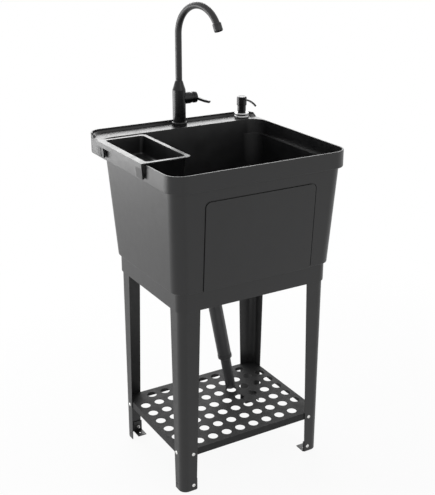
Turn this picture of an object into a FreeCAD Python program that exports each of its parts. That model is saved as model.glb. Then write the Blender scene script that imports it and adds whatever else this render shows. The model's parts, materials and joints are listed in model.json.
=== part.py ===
import FreeCAD, Part
import Sketcher

import math
import os
import re

# Utility laundry sink: a moulded tub on four tapered angle legs, with a perforated shelf, a
# gooseneck tap, a soap pump, a lift-off soap tray, a basket strainer and a slanted drain pipe.
# Millimetres. +X right, +Y to the back, +Z up. The origin is on the floor, at the centre of
# the four floor anchor holes.

doc = FreeCAD.newDocument("laundry_sink")
sheet = doc.addObject("Spreadsheet::Sheet", "sizes")
places = doc.addObject("App::VarSet", "places")
trial = doc.addObject("App::VarSet", "trial")
trial.addProperty("App::PropertyFloat", "worth", "trial")

# ---------------------------------------------------------------- driving sizes

driving_sizes = [
    # tub
    ("rim_height", "865", "top of the rim above the floor"),
    ("rim_width", "500", "tub across the rim"),
    ("rim_depth", "479", "tub across the rim from front to back"),
    ("rim_shift", "72", "how much further the rim stands out behind the legs than in front"),
    ("rim_band", "43", "height of the band round the rim"),
    ("rim_corner", "42", "front corner radius of the rim, seen from above"),
    ("rim_back_corner", "38", "back corner radius of the rim"),
    ("tub_wall", "4", "thickness of the moulded tub"),
    ("body_step", "10", "how far the walls step in under the band"),
    ("deck_depth", "63.8", "tap deck from the basin opening to the back of the rim"),
    ("body_bottom", "563", "underside of the tub body above the floor"),
    ("foot_taper_side", "22.5", "body's bottom edge inside the rim at each side"),
    ("foot_taper_front", "25.2", "body's bottom edge inside the rim at the front"),
    ("foot_taper_back", "27.7", "body's bottom edge in front of the tap deck's edge"),
    ("body_corner", "34", "front corner radius of the body"),
    ("body_back_corner", "46", "back corner radius of the body"),
    ("deck_joint", "0.3", "start of the deck piece behind the basin's back wall"),
    ("lip_height", "10", "splash lip along the back of the deck"),
    ("lip_reach", "36", "how far the splash lip runs round onto the sides"),
    ("panel_margin", "71.5", "side edge of the raised front panel from the body's bottom corner"),
    ("panel_gap", "31", "top of the raised front panel below the rim band"),
    ("panel_proud", "3", "how far the front panel stands out"),
    ("panel_corner", "14", "top corner radius of the front panel"),
    ("skirt_drop", "50", "height of the leg skirt under the body"),
    ("skirt_wall", "3.3", "thickness of the leg skirt"),
    ("rib_wall", "3", "thickness of the leg socket ribs"),
    ("rib_drop", "32", "height of the leg socket ribs"),
    ("rib_length", "30", "length of a leg socket rib"),
    # legs, shelf and feet
    ("leg_inset_side", "13.1", "leg's outer face inside the body's bottom edge at the sides"),
    ("leg_inset_front", "10.1", "leg's outer face inside the body's bottom edge at the front"),
    ("leg_corner", "20", "outer bend radius of a leg"),
    ("leg_sheet", "2", "sheet thickness of a leg"),
    ("leg_top_front", "57.5", "front flange width at the top"),
    ("leg_foot_front", "42.5", "front flange width at the floor"),
    ("leg_top_side", "52.5", "side flange width at the top"),
    ("leg_foot_side", "37.5", "side flange width at the floor"),
    ("leg_clearance", "0.3", "gap between a leg and its moulded socket"),
    ("screw_inset_x", "33", "screw in a front flange, from the leg's corner"),
    ("screw_inset_y", "29", "screw in a side flange, from the leg's corner"),
    ("shelf_screw_height", "110", "shelf screws above the floor"),
    ("foot_screw_height", "16", "foot screws above the floor"),
    ("shelf_top", "123.6", "top of the shelf above the floor"),
    ("shelf_flange", "20", "height of the shelf's turned-down edge"),
    ("shelf_sheet", "1.5", "sheet thickness of the shelf"),
    ("shelf_gap", "0.2", "gap between the shelf and a leg"),
    ("vent_margin_x", "23.65", "centre of the outer columns of holes from the shelf's sides"),
    ("vent_margin_y", "29.2", "centre of the outer rows of holes from the shelf's front and back"),
    ("vent_radius", "13.3", "shelf hole radius"),
    ("vent_columns", "10", "columns of shelf holes"),
    ("vent_rows", "7", "rows of shelf holes"),
    ("screw_radius", "2.5", "shank of the M5 screws"),
    ("screw_clearance", "0.25", "radial clearance of a screw in its hole"),
    ("screw_length", "14", "screw length under the head"),
    ("head_radius", "4.8", "screw head radius"),
    ("head_height", "2.6", "screw head height"),
    ("nut_radius", "4.5", "M5 nut, across corners / 2"),
    ("nut_height", "4", "M5 nut height"),
    ("thread_gap", "0.02", "radial gap drawn between a screw thread and its nut"),
    ("bracket_width", "25", "floor bracket across"),
    ("bracket_height", "32", "floor bracket height"),
    ("bracket_depth", "32", "floor bracket depth along the floor"),
    ("bracket_sheet", "2.5", "floor bracket thickness"),
    ("anchor_inset", "18.5", "anchor hole from the leg's outer face"),
    ("anchor_radius", "3.25", "anchor hole radius"),
    # soap tray
    ("tray_overhang", "10", "how far the tray's outer lip stands off the rim"),
    ("tray_width", "135", "tray across X with its outer lip"),
    ("tray_deck_gap", "27.7", "back end of the tray from the tap deck's edge"),
    ("tray_length", "256", "tray length along Y"),
    ("tray_flange", "4", "thickness of the tray's top flange"),
    ("tray_edge", "8", "width of the tray's top edge on three sides"),
    ("tray_gap", "1", "gap between the tray and the inside of the rim"),
    ("tray_depth", "50", "outside depth of the tray with its flange"),
    ("tray_wall", "2.5", "tray wall and floor"),
    ("tray_draft_left", "12", "how far the tray's left wall leans in to pass the ledge"),
    ("tray_draft", "4", "how far its other walls lean in"),
    ("tray_corner", "12", "tray corner radius"),
    ("tray_lip_drop", "12", "drop of the tray's outer lip"),
    ("tray_lip_wall", "3", "thickness of the outer lip and hooks"),
    ("hook_drop", "39", "drop of the two hooks"),
    ("hook_width", "34", "width of a hook"),
    ("hook_lean", "3", "how far a hook leans in over its height"),
    ("toe_gap", "0.4", "gap between a hook's toe and the rim band"),
    ("toe_height", "4", "height of a hook's toe"),
    # tap
    ("tap_x", "12", "tap axis from the origin along X"),
    ("tap_setback", "29.5", "tap axis from the back of the rim"),
    ("tap_gasket", "1.5", "rubber ring under the tap"),
    ("tap_ring_radius", "21", "base ring of the tap"),
    ("tap_ring_height", "8.5", "base ring height"),
    ("tap_body_radius", "18", "tap body radius"),
    ("tap_body_height", "96", "top of the cylinder above the deck"),
    ("tap_cone_height", "121", "top of the cone above the deck"),
    ("tap_neck_radius", "10.6", "tap body radius at the top of its cone"),
    ("spout_radius", "9", "spout tube radius"),
    ("spout_wall", "1.5", "spout tube wall"),
    ("spout_running", "0.05", "running clearance of the spout in the body"),
    ("spout_socket", "42", "depth of the spout in the body"),
    ("spout_rise", "243.5", "start of the gooseneck bend above the deck"),
    ("spout_arc", "81.3", "bend radius of the gooseneck at its centre line"),
    ("spout_turn", "155", "turn of the gooseneck in degrees"),
    ("spout_yaw", "11.5", "spout's direction at rest, from straight forward towards +X"),
    ("ring_groove", "1.2", "width of the O-ring grooves in the spout's foot"),
    ("ring_groove_depth", "0.85", "depth of the O-ring grooves"),
    ("ring_section", "0.4", "section radius of the O-rings"),
    ("aerator_radius", "11.5", "aerator housing radius"),
    ("aerator_length", "21", "aerator housing length"),
    ("aerator_overlap", "9", "length of spout inside the aerator housing"),
    ("thread_fit", "0.1", "gap drawn between a thread and its nut"),
    ("hub_height", "72", "lever axis above the deck"),
    ("hub_radius", "16", "side hub radius"),
    ("hub_reach", "33", "end of the side hub from the tap axis"),
    ("hub_wall", "3", "wall of the side hub"),
    ("cartridge_start", "16", "inner end of the cartridge from the tap axis"),
    ("cap_ring", "2", "length of the retaining ring on the hub"),
    ("cap_ring_radius", "14.8", "retaining ring radius"),
    ("pivot_reach", "41", "lever pivot from the tap axis"),
    ("dome_radius", "14", "ball-shaped spindle head"),
    ("dome_back", "5.7", "spindle head behind the pivot"),
    ("dome_front", "2", "spindle head in front of the pivot"),
    ("dome_gap", "0.3", "gap between the spindle head and the handle"),
    ("spindle_radius", "5", "spindle shaft radius"),
    ("spindle_running", "0.05", "running clearance of the spindle"),
    ("cap_radius", "15.5", "handle cap radius"),
    ("cap_back", "0.5", "back edge of the handle cap in front of the pivot"),
    ("cap_cavity", "7", "depth of the handle's inside in front of the pivot"),
    ("cap_front", "11", "front of the handle cap in front of the pivot"),
    ("stem_radius", "3", "handle stem radius"),
    ("stem_back", "3.8", "end of the handle stem behind the pivot"),
    ("stem_slot", "6.4", "width of the slot for the stem in the spindle head"),
    ("pin_radius", "1.2", "lever pivot pin radius"),
    ("pin_running", "0.05", "running clearance of the pin in the stem"),
    ("lever_length", "51", "lever tip from the hub axis"),
    ("lever_width", "8.5", "lever width"),
    ("lever_thick", "7", "lever thickness"),
    ("lever_yaw", "30", "lever's direction at rest, from straight forward towards +X"),
    ("lever_drop", "12", "how far the lever slopes down, in degrees"),
    ("lever_root", "8", "root of the lever bar from the hub axis"),
    ("shank_radius", "16", "threaded shank under the tap"),
    ("shank_length", "65", "shank below the deck top"),
    ("shank_grip", "15", "shank inside the tap body"),
    ("deck_hole_gap", "1.5", "radial gap of a shank in its deck hole"),
    ("washer_radius", "24", "washers under the deck"),
    ("soft_washer", "3", "rubber washer thickness"),
    ("hard_washer", "1.5", "steel washer thickness"),
    ("lock_nut_radius", "24", "tap lock nut, across corners / 2"),
    ("lock_nut_height", "10", "tap lock nut height"),
    ("inlet_radius", "4.5", "M10 x 1 supply inlet bore"),
    ("inlet_depth", "22", "supply inlet depth"),
    ("inlet_spacing", "14", "distance between the two inlets"),
    # soap pump
    ("pump_inset", "42", "soap pump axis from the right side of the rim"),
    ("pump_setback", "36.5", "soap pump axis from the back of the rim"),
    ("pump_flange_radius", "20.4", "soap pump flange"),
    ("pump_flange_height", "15", "soap pump flange height"),
    ("flange_groove", "1.4", "groove round the flange, width"),
    ("groove_depth", "2", "groove round the flange, depth"),
    ("pump_shank_radius", "12.5", "threaded shank of the soap pump"),
    ("pump_shank_length", "45", "shank below the deck top"),
    ("pump_bore", "9.5", "bore of the shank"),
    ("sleeve_radius", "12", "sleeve under the pump head"),
    ("sleeve_gap", "0.4", "radial gap of the sleeve in the flange"),
    ("sleeve_dip", "1", "sleeve inside the flange when the pump is up"),
    ("sleeve_rest", "0.5", "gap under the sleeve when the pump is down"),
    ("guide_length", "16.5", "stem guide inside the shank, length"),
    ("stem_rod", "4", "pump stem radius"),
    ("stem_running", "0.05", "running clearance of the pump stem"),
    ("head_gap", "20", "bottom of the pump head above the flange"),
    ("pump_head_radius", "14", "pump head radius"),
    ("pump_head_height", "24.5", "pump head height"),
    ("head_rest", "0.2", "gap between the sleeve and the turning head"),
    ("pump_travel", "12", "stroke of the pump"),
    ("nozzle_radius", "2.7", "nozzle tube radius"),
    ("nozzle_bore", "1.4", "nozzle bore radius"),
    ("nozzle_straight", "8", "straight start of the nozzle"),
    ("nozzle_arc", "64", "bend radius of the nozzle"),
    ("nozzle_turn", "34", "turn of the nozzle in degrees"),
    ("nozzle_yaw", "10", "nozzle's direction at rest, from straight forward towards +X"),
    ("nozzle_down", "7", "nozzle axis below the top of the head"),
    ("barrel_radius", "8", "pump barrel radius"),
    ("barrel_wall", "1.6", "pump barrel wall"),
    ("barrel_length", "60", "pump barrel length"),
    ("piston_height", "5", "piston height"),
    ("piston_gap", "0.05", "running clearance of the piston"),
    ("spring_wall", "0.8", "wall of the spring's sleeve"),
    ("pump_nut_radius", "19", "soap pump nut, across corners / 2"),
    ("pump_nut_height", "8", "soap pump nut height"),
    ("bottle_radius", "27", "soap bottle radius"),
    ("bottle_height", "160", "soap bottle below its neck"),
    ("bottle_neck", "24", "bottle neck height"),
    ("bottle_wall", "1.5", "bottle wall"),
    ("dip_radius", "3", "dip tube radius"),
    ("dip_wall", "0.8", "dip tube wall"),
    ("dip_rest", "6", "dip tube end above the bottle's floor"),
    # strainer and drain
    ("drain_x", "0", "drain axis from the origin along X"),
    ("drain_y", "60", "drain axis from the origin along Y"),
    ("strainer_flange_radius", "56", "strainer flange"),
    ("strainer_flange_height", "2", "strainer flange thickness"),
    ("strainer_cup", "43.5", "outside radius of the strainer cup"),
    ("cup_depth", "37", "strainer cup below the basin floor"),
    ("cup_wall", "2", "strainer cup wall"),
    ("cup_step", "2", "seat for the basket inside the cup"),
    ("drain_hole_gap", "1", "radial gap of the cup in the tub floor"),
    ("tail_radius", "22.5", "threaded tail of the strainer"),
    ("tail_length", "22", "tail length"),
    ("pipe_wall", "1.5", "wall of the drain pipes"),
    ("basket_gap", "0.4", "gap round the basket's rim"),
    ("basket_rim", "1.6", "thickness of the basket's rim"),
    ("basket_inset", "3.5", "basket wall inside its rim"),
    ("basket_depth", "24", "basket depth"),
    ("basket_sheet", "1.2", "basket sheet"),
    ("basket_hole", "2.8", "hole radius in the basket's floor"),
    ("basket_hole_ring", "24", "hole circle radius in the basket's floor"),
    ("basket_hole_count", "12", "holes in the basket's floor"),
    ("knob_radius", "5", "basket knob radius"),
    ("knob_height", "9", "knob above the basket's rim"),
    ("seal_radius", "54", "strainer gasket outside radius"),
    ("seal_thick", "3", "strainer gasket thickness"),
    ("paper_thick", "1", "friction washer thickness"),
    ("ring_nut_radius", "52", "strainer lock nut radius"),
    ("ring_nut_height", "10", "strainer lock nut height"),
    ("pipe_radius", "19", "tailpiece and upper drain pipe"),
    ("coupling_radius", "27", "coupling nut radius"),
    ("coupling_height", "15", "coupling nut height"),
    ("coupling_lip", "2.5", "lip of the coupling and slip nuts"),
    ("tailpiece_flange", "2.5", "flange of the tailpiece"),
    ("bend_drop", "30", "bend of the drain below the end of the strainer's tail"),
    ("bend_clear", "6", "pipe ends from the bend's centre"),
    ("elbow_radius", "24", "elbow outside radius"),
    ("elbow_bulge", "0.5", "how far the ball of the elbow stands outside its arms"),
    ("elbow_arm", "16", "elbow arm from the bend's centre"),
    ("slip_fit", "0.1", "gap of a pipe in its socket"),
    ("slip_nut_height", "11", "slip nut height"),
    ("drain_reach", "69.5", "how far the drain pipe leans over to +X at the shelf"),
    ("upper_pipe_length", "255", "end of the upper drain pipe from the bend"),
    ("lower_pipe_radius", "14.4", "lower drain pipe radius"),
    ("pipe_overlap", "30", "lower pipe inside the upper pipe"),
    ("reducer_length", "9", "reducing collar length"),
    ("reducer_proud", "0.9", "reducing collar outside the upper pipe"),
    ("pipe_rest", "0.3", "lower pipe's edge above the shelf"),
]

driving = set()
for row, (name, number, note) in enumerate(driving_sizes, start=1):
    sheet.set("A%d" % row, name)
    sheet.set("B%d" % row, number)
    sheet.set("C%d" % row, note)
    sheet.setAlias("B%d" % row, name)
    driving.add(name)
doc.recompute()

derived = set()


def formula(text):
    """Turn the plain names in a formula into references to the sheet or to places."""
    def reference(match):
        word = match.group()
        if word in driving:
            return "sizes." + word
        if word in derived:
            return "places." + word
        return word
    return re.sub(r"[A-Za-z_][A-Za-z_0-9]*", reference, text)


def derive(name, text):
    """Add a size that follows from others."""
    places.addProperty("App::PropertyFloat", name, "places")
    places.setExpression(name, formula(text).replace("places.", ""))
    derived.add(name)


def worth(text):
    """The number that a formula gives now."""
    trial.setExpression("worth", formula(text))
    trial.recompute()
    return trial.worth


# ---------------------------------------------------------------- sizes that follow

derive("rim_half", "rim_width / 2")
derive("rim_front", "(rim_depth - rim_shift) / 2")
derive("rim_back", "(rim_depth + rim_shift) / 2")
derive("deck_front", "rim_back - deck_depth")
derive("foot_half", "rim_half - foot_taper_side")
derive("foot_front", "rim_front - foot_taper_front")
derive("foot_back", "deck_front - foot_taper_back")
derive("leg_half_x", "foot_half - leg_inset_side")
derive("leg_half_y", "foot_front - leg_inset_front")
derive("panel_half", "foot_half - panel_margin")
derive("skirt_bottom", "body_bottom - skirt_drop")
derive("band_bottom", "rim_height - rim_band")
derive("panel_top", "band_bottom - panel_gap")
derive("ledge_top", "band_bottom + tub_wall")
derive("deck_under", "rim_height - tub_wall")
derive("body_half", "rim_half - body_step")
derive("body_front", "rim_front - body_step")
derive("floor_top", "body_bottom + tub_wall")
derive("back_slope", "(deck_front + tub_wall - foot_back) / (rim_height - body_bottom)")
derive("side_slope", "(body_half - foot_half) / (band_bottom - body_bottom)")
derive("front_slope", "(body_front - foot_front) / (band_bottom - body_bottom)")
derive("skirt_half_x", "leg_half_x + leg_clearance + skirt_wall")
derive("skirt_half_y", "leg_half_y + leg_clearance + skirt_wall")
derive("skirt_corner", "leg_corner + leg_clearance + skirt_wall")
derive("leg_inner_x", "leg_half_x - leg_sheet")
derive("leg_inner_y", "leg_half_y - leg_sheet")
derive("screw_x", "leg_half_x - screw_inset_x")
derive("screw_y", "leg_half_y - screw_inset_y")
derive("screw_hole", "screw_radius + screw_clearance")
derive("shelf_half_x", "leg_inner_x - shelf_gap")
derive("shelf_half_y", "leg_inner_y - shelf_gap")
derive("shelf_corner", "leg_corner - leg_sheet")
derive("vent_pitch_x", "2 * (shelf_half_x - vent_margin_x) / (vent_columns - 1)")
derive("vent_pitch_y", "2 * (shelf_half_y - vent_margin_y) / (vent_rows - 1)")
derive("shelf_under", "shelf_top - shelf_flange")
derive("anchor_y", "leg_half_y - anchor_inset")
derive("tray_left", "-rim_half - tray_overhang")
derive("tray_right", "tray_left + tray_width")
derive("tray_back", "deck_front - tray_deck_gap")
derive("tray_front", "tray_back - tray_length")
derive("tray_top", "rim_height + tray_flange")
derive("tray_bottom", "tray_top - tray_depth")
derive("tray_in_left", "-rim_half + tub_wall + tray_gap")
derive("tap_y", "rim_back - tap_setback")
derive("pump_x", "rim_half - pump_inset")
derive("pump_y", "rim_back - pump_setback")
derive("tap_seat", "rim_height + tap_gasket + tap_ring_height")
derive("cone_base", "rim_height + tap_body_height")
derive("cone_top", "rim_height + tap_cone_height")
derive("spout_foot", "cone_top - spout_socket")
derive("spout_bore", "spout_radius + spout_running")
derive("bend_start", "rim_height + spout_rise")
derive("hub_z", "rim_height + hub_height")
derive("pivot_x", "tap_x + pivot_reach")
derive("hub_end", "tap_x + hub_reach")
derive("cartridge_radius", "hub_radius - hub_wall")
derive("shank_bottom", "rim_height - shank_length")
derive("tap_hole", "shank_radius + deck_hole_gap")
derive("pump_flange_top", "rim_height + pump_flange_height")
derive("pump_shank_bottom", "rim_height - pump_shank_length")
derive("sleeve_bottom", "pump_flange_top - sleeve_dip")
derive("sleeve_seat", "sleeve_bottom - pump_travel - sleeve_rest")
derive("guide_bottom", "sleeve_seat - guide_length")
derive("pump_head_bottom", "pump_flange_top + head_gap")
derive("pump_head_top", "pump_head_bottom + pump_head_height")
derive("nozzle_z", "pump_head_top - nozzle_down")
derive("barrel_bottom", "guide_bottom - barrel_length")
derive("barrel_bore", "barrel_radius - barrel_wall")
derive("piston_top", "guide_bottom - 0.3")
derive("piston_bottom", "piston_top - piston_height")
derive("bottle_shoulder", "pump_shank_bottom - 2")
derive("bottle_top", "pump_shank_bottom + bottle_neck")
derive("bottle_bottom", "bottle_shoulder - bottle_height")
derive("cup_inside", "strainer_cup - cup_wall")
derive("cup_bottom", "floor_top - cup_depth")
derive("tail_bottom", "cup_bottom - tail_length")
derive("basket_seat", "floor_top")
derive("basket_radius", "cup_inside - basket_gap")
derive("basket_cup", "cup_inside - cup_step - basket_gap")
derive("basket_floor", "basket_seat - basket_depth")
derive("tail_bore", "tail_radius - cup_wall")
derive("drain_hole", "strainer_cup + drain_hole_gap")
derive("seal_bottom", "body_bottom - seal_thick")
derive("paper_bottom", "seal_bottom - paper_thick")
derive("ring_nut_bottom", "paper_bottom - ring_nut_height")
derive("bend_height", "tail_bottom - bend_drop")
derive("elbow_top", "bend_height + elbow_arm")
derive("drain_lean", "atan(drain_reach / (bend_height - shelf_top))")
derive("lower_pipe_end", "(bend_height - shelf_top - pipe_rest - lower_pipe_radius * sin(drain_lean))"
                         " / cos(drain_lean)")
derive("lower_pipe_start", "upper_pipe_length - pipe_overlap")
derive("upper_pipe_bore", "pipe_radius - pipe_wall")
doc.recompute()

# ---------------------------------------------------------------- building blocks


def bind(item, **formulas):
    """Tie properties of an object to formulas."""
    for prop, text in formulas.items():
        item.setExpression(prop, formula(text))
    return item


def put(item, x="0", y="0", z="0"):
    """Tie an object's place to formulas."""
    item.setExpression(".Placement.Base.x", formula(x))
    item.setExpression(".Placement.Base.y", formula(y))
    item.setExpression(".Placement.Base.z", formula(z))
    return item


def turn(item, axis, angle):
    """Turn an object about an axis through its own origin, by a formula in degrees."""
    item.Placement = FreeCAD.Placement(item.Placement.Base, FreeCAD.Rotation(axis, 1))
    item.setExpression(".Placement.Rotation.Angle", formula(angle))
    return item


AXIS_X = FreeCAD.Vector(1, 0, 0)
AXIS_Y = FreeCAD.Vector(0, 1, 0)
AXIS_Z = FreeCAD.Vector(0, 0, 1)


def box(name, x, y, z):
    """Box between low and high formulas on each axis."""
    item = doc.addObject("Part::Box", name)
    bind(item, Length="(%s) - (%s)" % (x[1], x[0]), Width="(%s) - (%s)" % (y[1], y[0]),
         Height="(%s) - (%s)" % (z[1], z[0]))
    return put(item, x[0], y[0], z[0])


def tapered(name, low, high, z):
    """Box with sloping sides. low and high are (x0, x1, y0, y1) at the two heights in z."""
    item = doc.addObject("Part::Wedge", name)
    bind(item, Xmin=low[0], Xmax=low[1], Zmin="-(%s)" % low[3], Zmax="-(%s)" % low[2],
         X2min=high[0], X2max=high[1], Z2min="-(%s)" % high[3], Z2max="-(%s)" % high[2],
         Ymin="0", Ymax="(%s) - (%s)" % (z[1], z[0]))
    turn(item, AXIS_X, "90")
    return put(item, "0", "0", z[0])


def rod(name, radius, low, high, x="0", y="0"):
    """Upright cylinder."""
    item = doc.addObject("Part::Cylinder", name)
    bind(item, Radius=radius, Height="(%s) - (%s)" % (high, low))
    return put(item, x, y, low)


def rod_along(name, axis, radius, low, high, a, b):
    """Cylinder along X (a, b are its y and z) or along Y (a, b are its x and z)."""
    item = doc.addObject("Part::Cylinder", name)
    bind(item, Radius=radius, Height="(%s) - (%s)" % (high, low))
    if axis == "X":
        turn(item, AXIS_Y, "90")
        return put(item, low, a, b)
    turn(item, AXIS_X, "-90")
    return put(item, a, low, b)


def cone(name, radius_low, radius_high, low, high, x="0", y="0"):
    """Upright cone."""
    item = doc.addObject("Part::Cone", name)
    bind(item, Radius1=radius_low, Radius2=radius_high, Height="(%s) - (%s)" % (high, low))
    return put(item, x, y, low)


def ball(name, radius, x, y, z):
    item = doc.addObject("Part::Sphere", name)
    bind(item, Radius=radius)
    return put(item, x, y, z)


def ball_slice(name, radius, low, high, x, y, z):
    """Part of a ball between two planes square to X, counted from its centre."""
    item = doc.addObject("Part::Sphere", name)
    bind(item, Radius=radius, Angle1="asin((%s) / (%s))" % (low, radius),
         Angle2="asin((%s) / (%s))" % (high, radius))
    turn(item, AXIS_Y, "90")
    return put(item, x, y, z)


def cut(name, base, *tools):
    item = doc.addObject("Part::Cut", name)
    item.Base = base
    item.Tool = tools[0] if len(tools) == 1 else fuse(name + "_tools", *tools)
    return item


def fuse(name, *items):
    item = doc.addObject("Part::MultiFuse", name)
    item.Shapes = list(items)
    return item


def common(name, *items):
    item = doc.addObject("Part::MultiCommon", name)
    item.Shapes = list(items)
    return item


def group(name, *items):
    """Separate solids that share one sub-part."""
    item = doc.addObject("Part::Compound", name)
    item.Links = list(items)
    return item


def mirror(name, source, axis):
    """Mirror image across the middle plane square to an axis."""
    item = doc.addObject("Part::Mirroring", name)
    item.Source = source
    item.Base = (0, 0, 0)
    item.Normal = axis
    return item


def round_uprights(name, base, radii):
    """Round the upright edges. radii holds (front left, front right, back left, back right)."""
    doc.recompute()
    centre = base.Shape.BoundBox.Center
    picks = []
    for index, edge in enumerate(base.Shape.Edges, start=1):
        start = edge.Vertexes[0].Point
        end = edge.Vertexes[-1].Point
        if abs(start.z - end.z) < 0.9 * base.Shape.BoundBox.ZLength:
            continue
        middle = (start + end) * 0.5
        corner = (1 if middle.x > centre.x else 0) + (2 if middle.y > centre.y else 0)
        if radii[corner]:
            picks.append((index, worth(radii[corner]), worth(radii[corner])))
    item = doc.addObject("Part::Fillet", name)
    item.Base = base
    item.Edges = picks
    return item


def round_edges(name, base, radius, chosen):
    """Round the edges that a test picks out."""
    doc.recompute()
    size = worth(radius)
    picks = [(index, size, size) for index, edge in enumerate(base.Shape.Edges, start=1)
             if chosen(edge)]
    item = doc.addObject("Part::Fillet", name)
    item.Base = base
    item.Edges = picks
    return item


def origin_plane(body, role):
    for feature in body.Origin.OriginFeatures:
        if feature.Role == role:
            return feature


def outline(body, name, role, points):
    """Closed sketch through points, each tied to two formulas."""
    sketch = body.newObject("Sketcher::SketchObject", name)
    sketch.AttachmentSupport = (origin_plane(body, role), [""])
    sketch.MapMode = "FlatFace"
    corners = [FreeCAD.Vector(worth(u), worth(v), 0) for u, v in points]
    for index, corner in enumerate(corners):
        following = corners[(index + 1) % len(corners)]
        sketch.addGeometry(Part.LineSegment(corner, following), False)
    for index, (u, v) in enumerate(points):
        following = (index + 1) % len(points)
        sketch.addConstraint(Sketcher.Constraint("Coincident", index, 2, following, 1))
        for kind, text, place in (("DistanceX", u, corners[index].x),
                                  ("DistanceY", v, corners[index].y)):
            number = sketch.addConstraint(Sketcher.Constraint(kind, -1, 1, index, 1, place))
            sketch.setExpression("Constraints[%d]" % number, formula(text))
    return sketch


def turned(name, points, x="0", y="0"):
    """Body turned about an upright axis from a half section of (radius, height) points."""
    body = doc.addObject("PartDesign::Body", name)
    sketch = outline(body, name + "_section", "XZ_Plane", points)
    revolution = body.newObject("PartDesign::Revolution", name + "_turned")
    revolution.Profile = sketch
    revolution.ReferenceAxis = (sketch, ["V_Axis"])
    revolution.Angle = 360
    return put(body, x, y, "0")


def tube(name, outside, inside, low, high, x="0", y="0"):
    """Body of a plain ring or pipe."""
    return turned(name, [(inside, low), (outside, low), (outside, high), (inside, high)], x, y)


def hex_nut(name, radius, bore, low, high, x="0", y="0"):
    prism = doc.addObject("Part::Prism", name + "_hexagon")
    prism.Polygon = 6
    bind(prism, Circumradius=radius, Height="(%s) - (%s)" % (high, low))
    put(prism, x, y, low)
    hole = rod(name + "_bore", bore, low + " - 1", high + " + 1", x, y)
    return cut(name, prism, hole)


nodes = []


def subpart(label, item):
    item.Label = label
    nodes.append(item)
    return item


# ---------------------------------------------------------------- tub


def body_wedge(name, inset, low, high, proud="0"):
    """The tub body between two heights, inset from its outer faces."""
    def section(height):
        up = "((%s) - body_bottom)" % height
        half = "foot_half + side_slope * %s - (%s)" % (up, inset)
        return ("-(%s)" % half, half,
                "-(foot_front + front_slope * %s - (%s) + (%s))" % (up, inset, proud),
                "foot_back + back_slope * %s - (%s)" % (up, inset))
    return tapered(name, section(low), section(high), (low, high))


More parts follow.
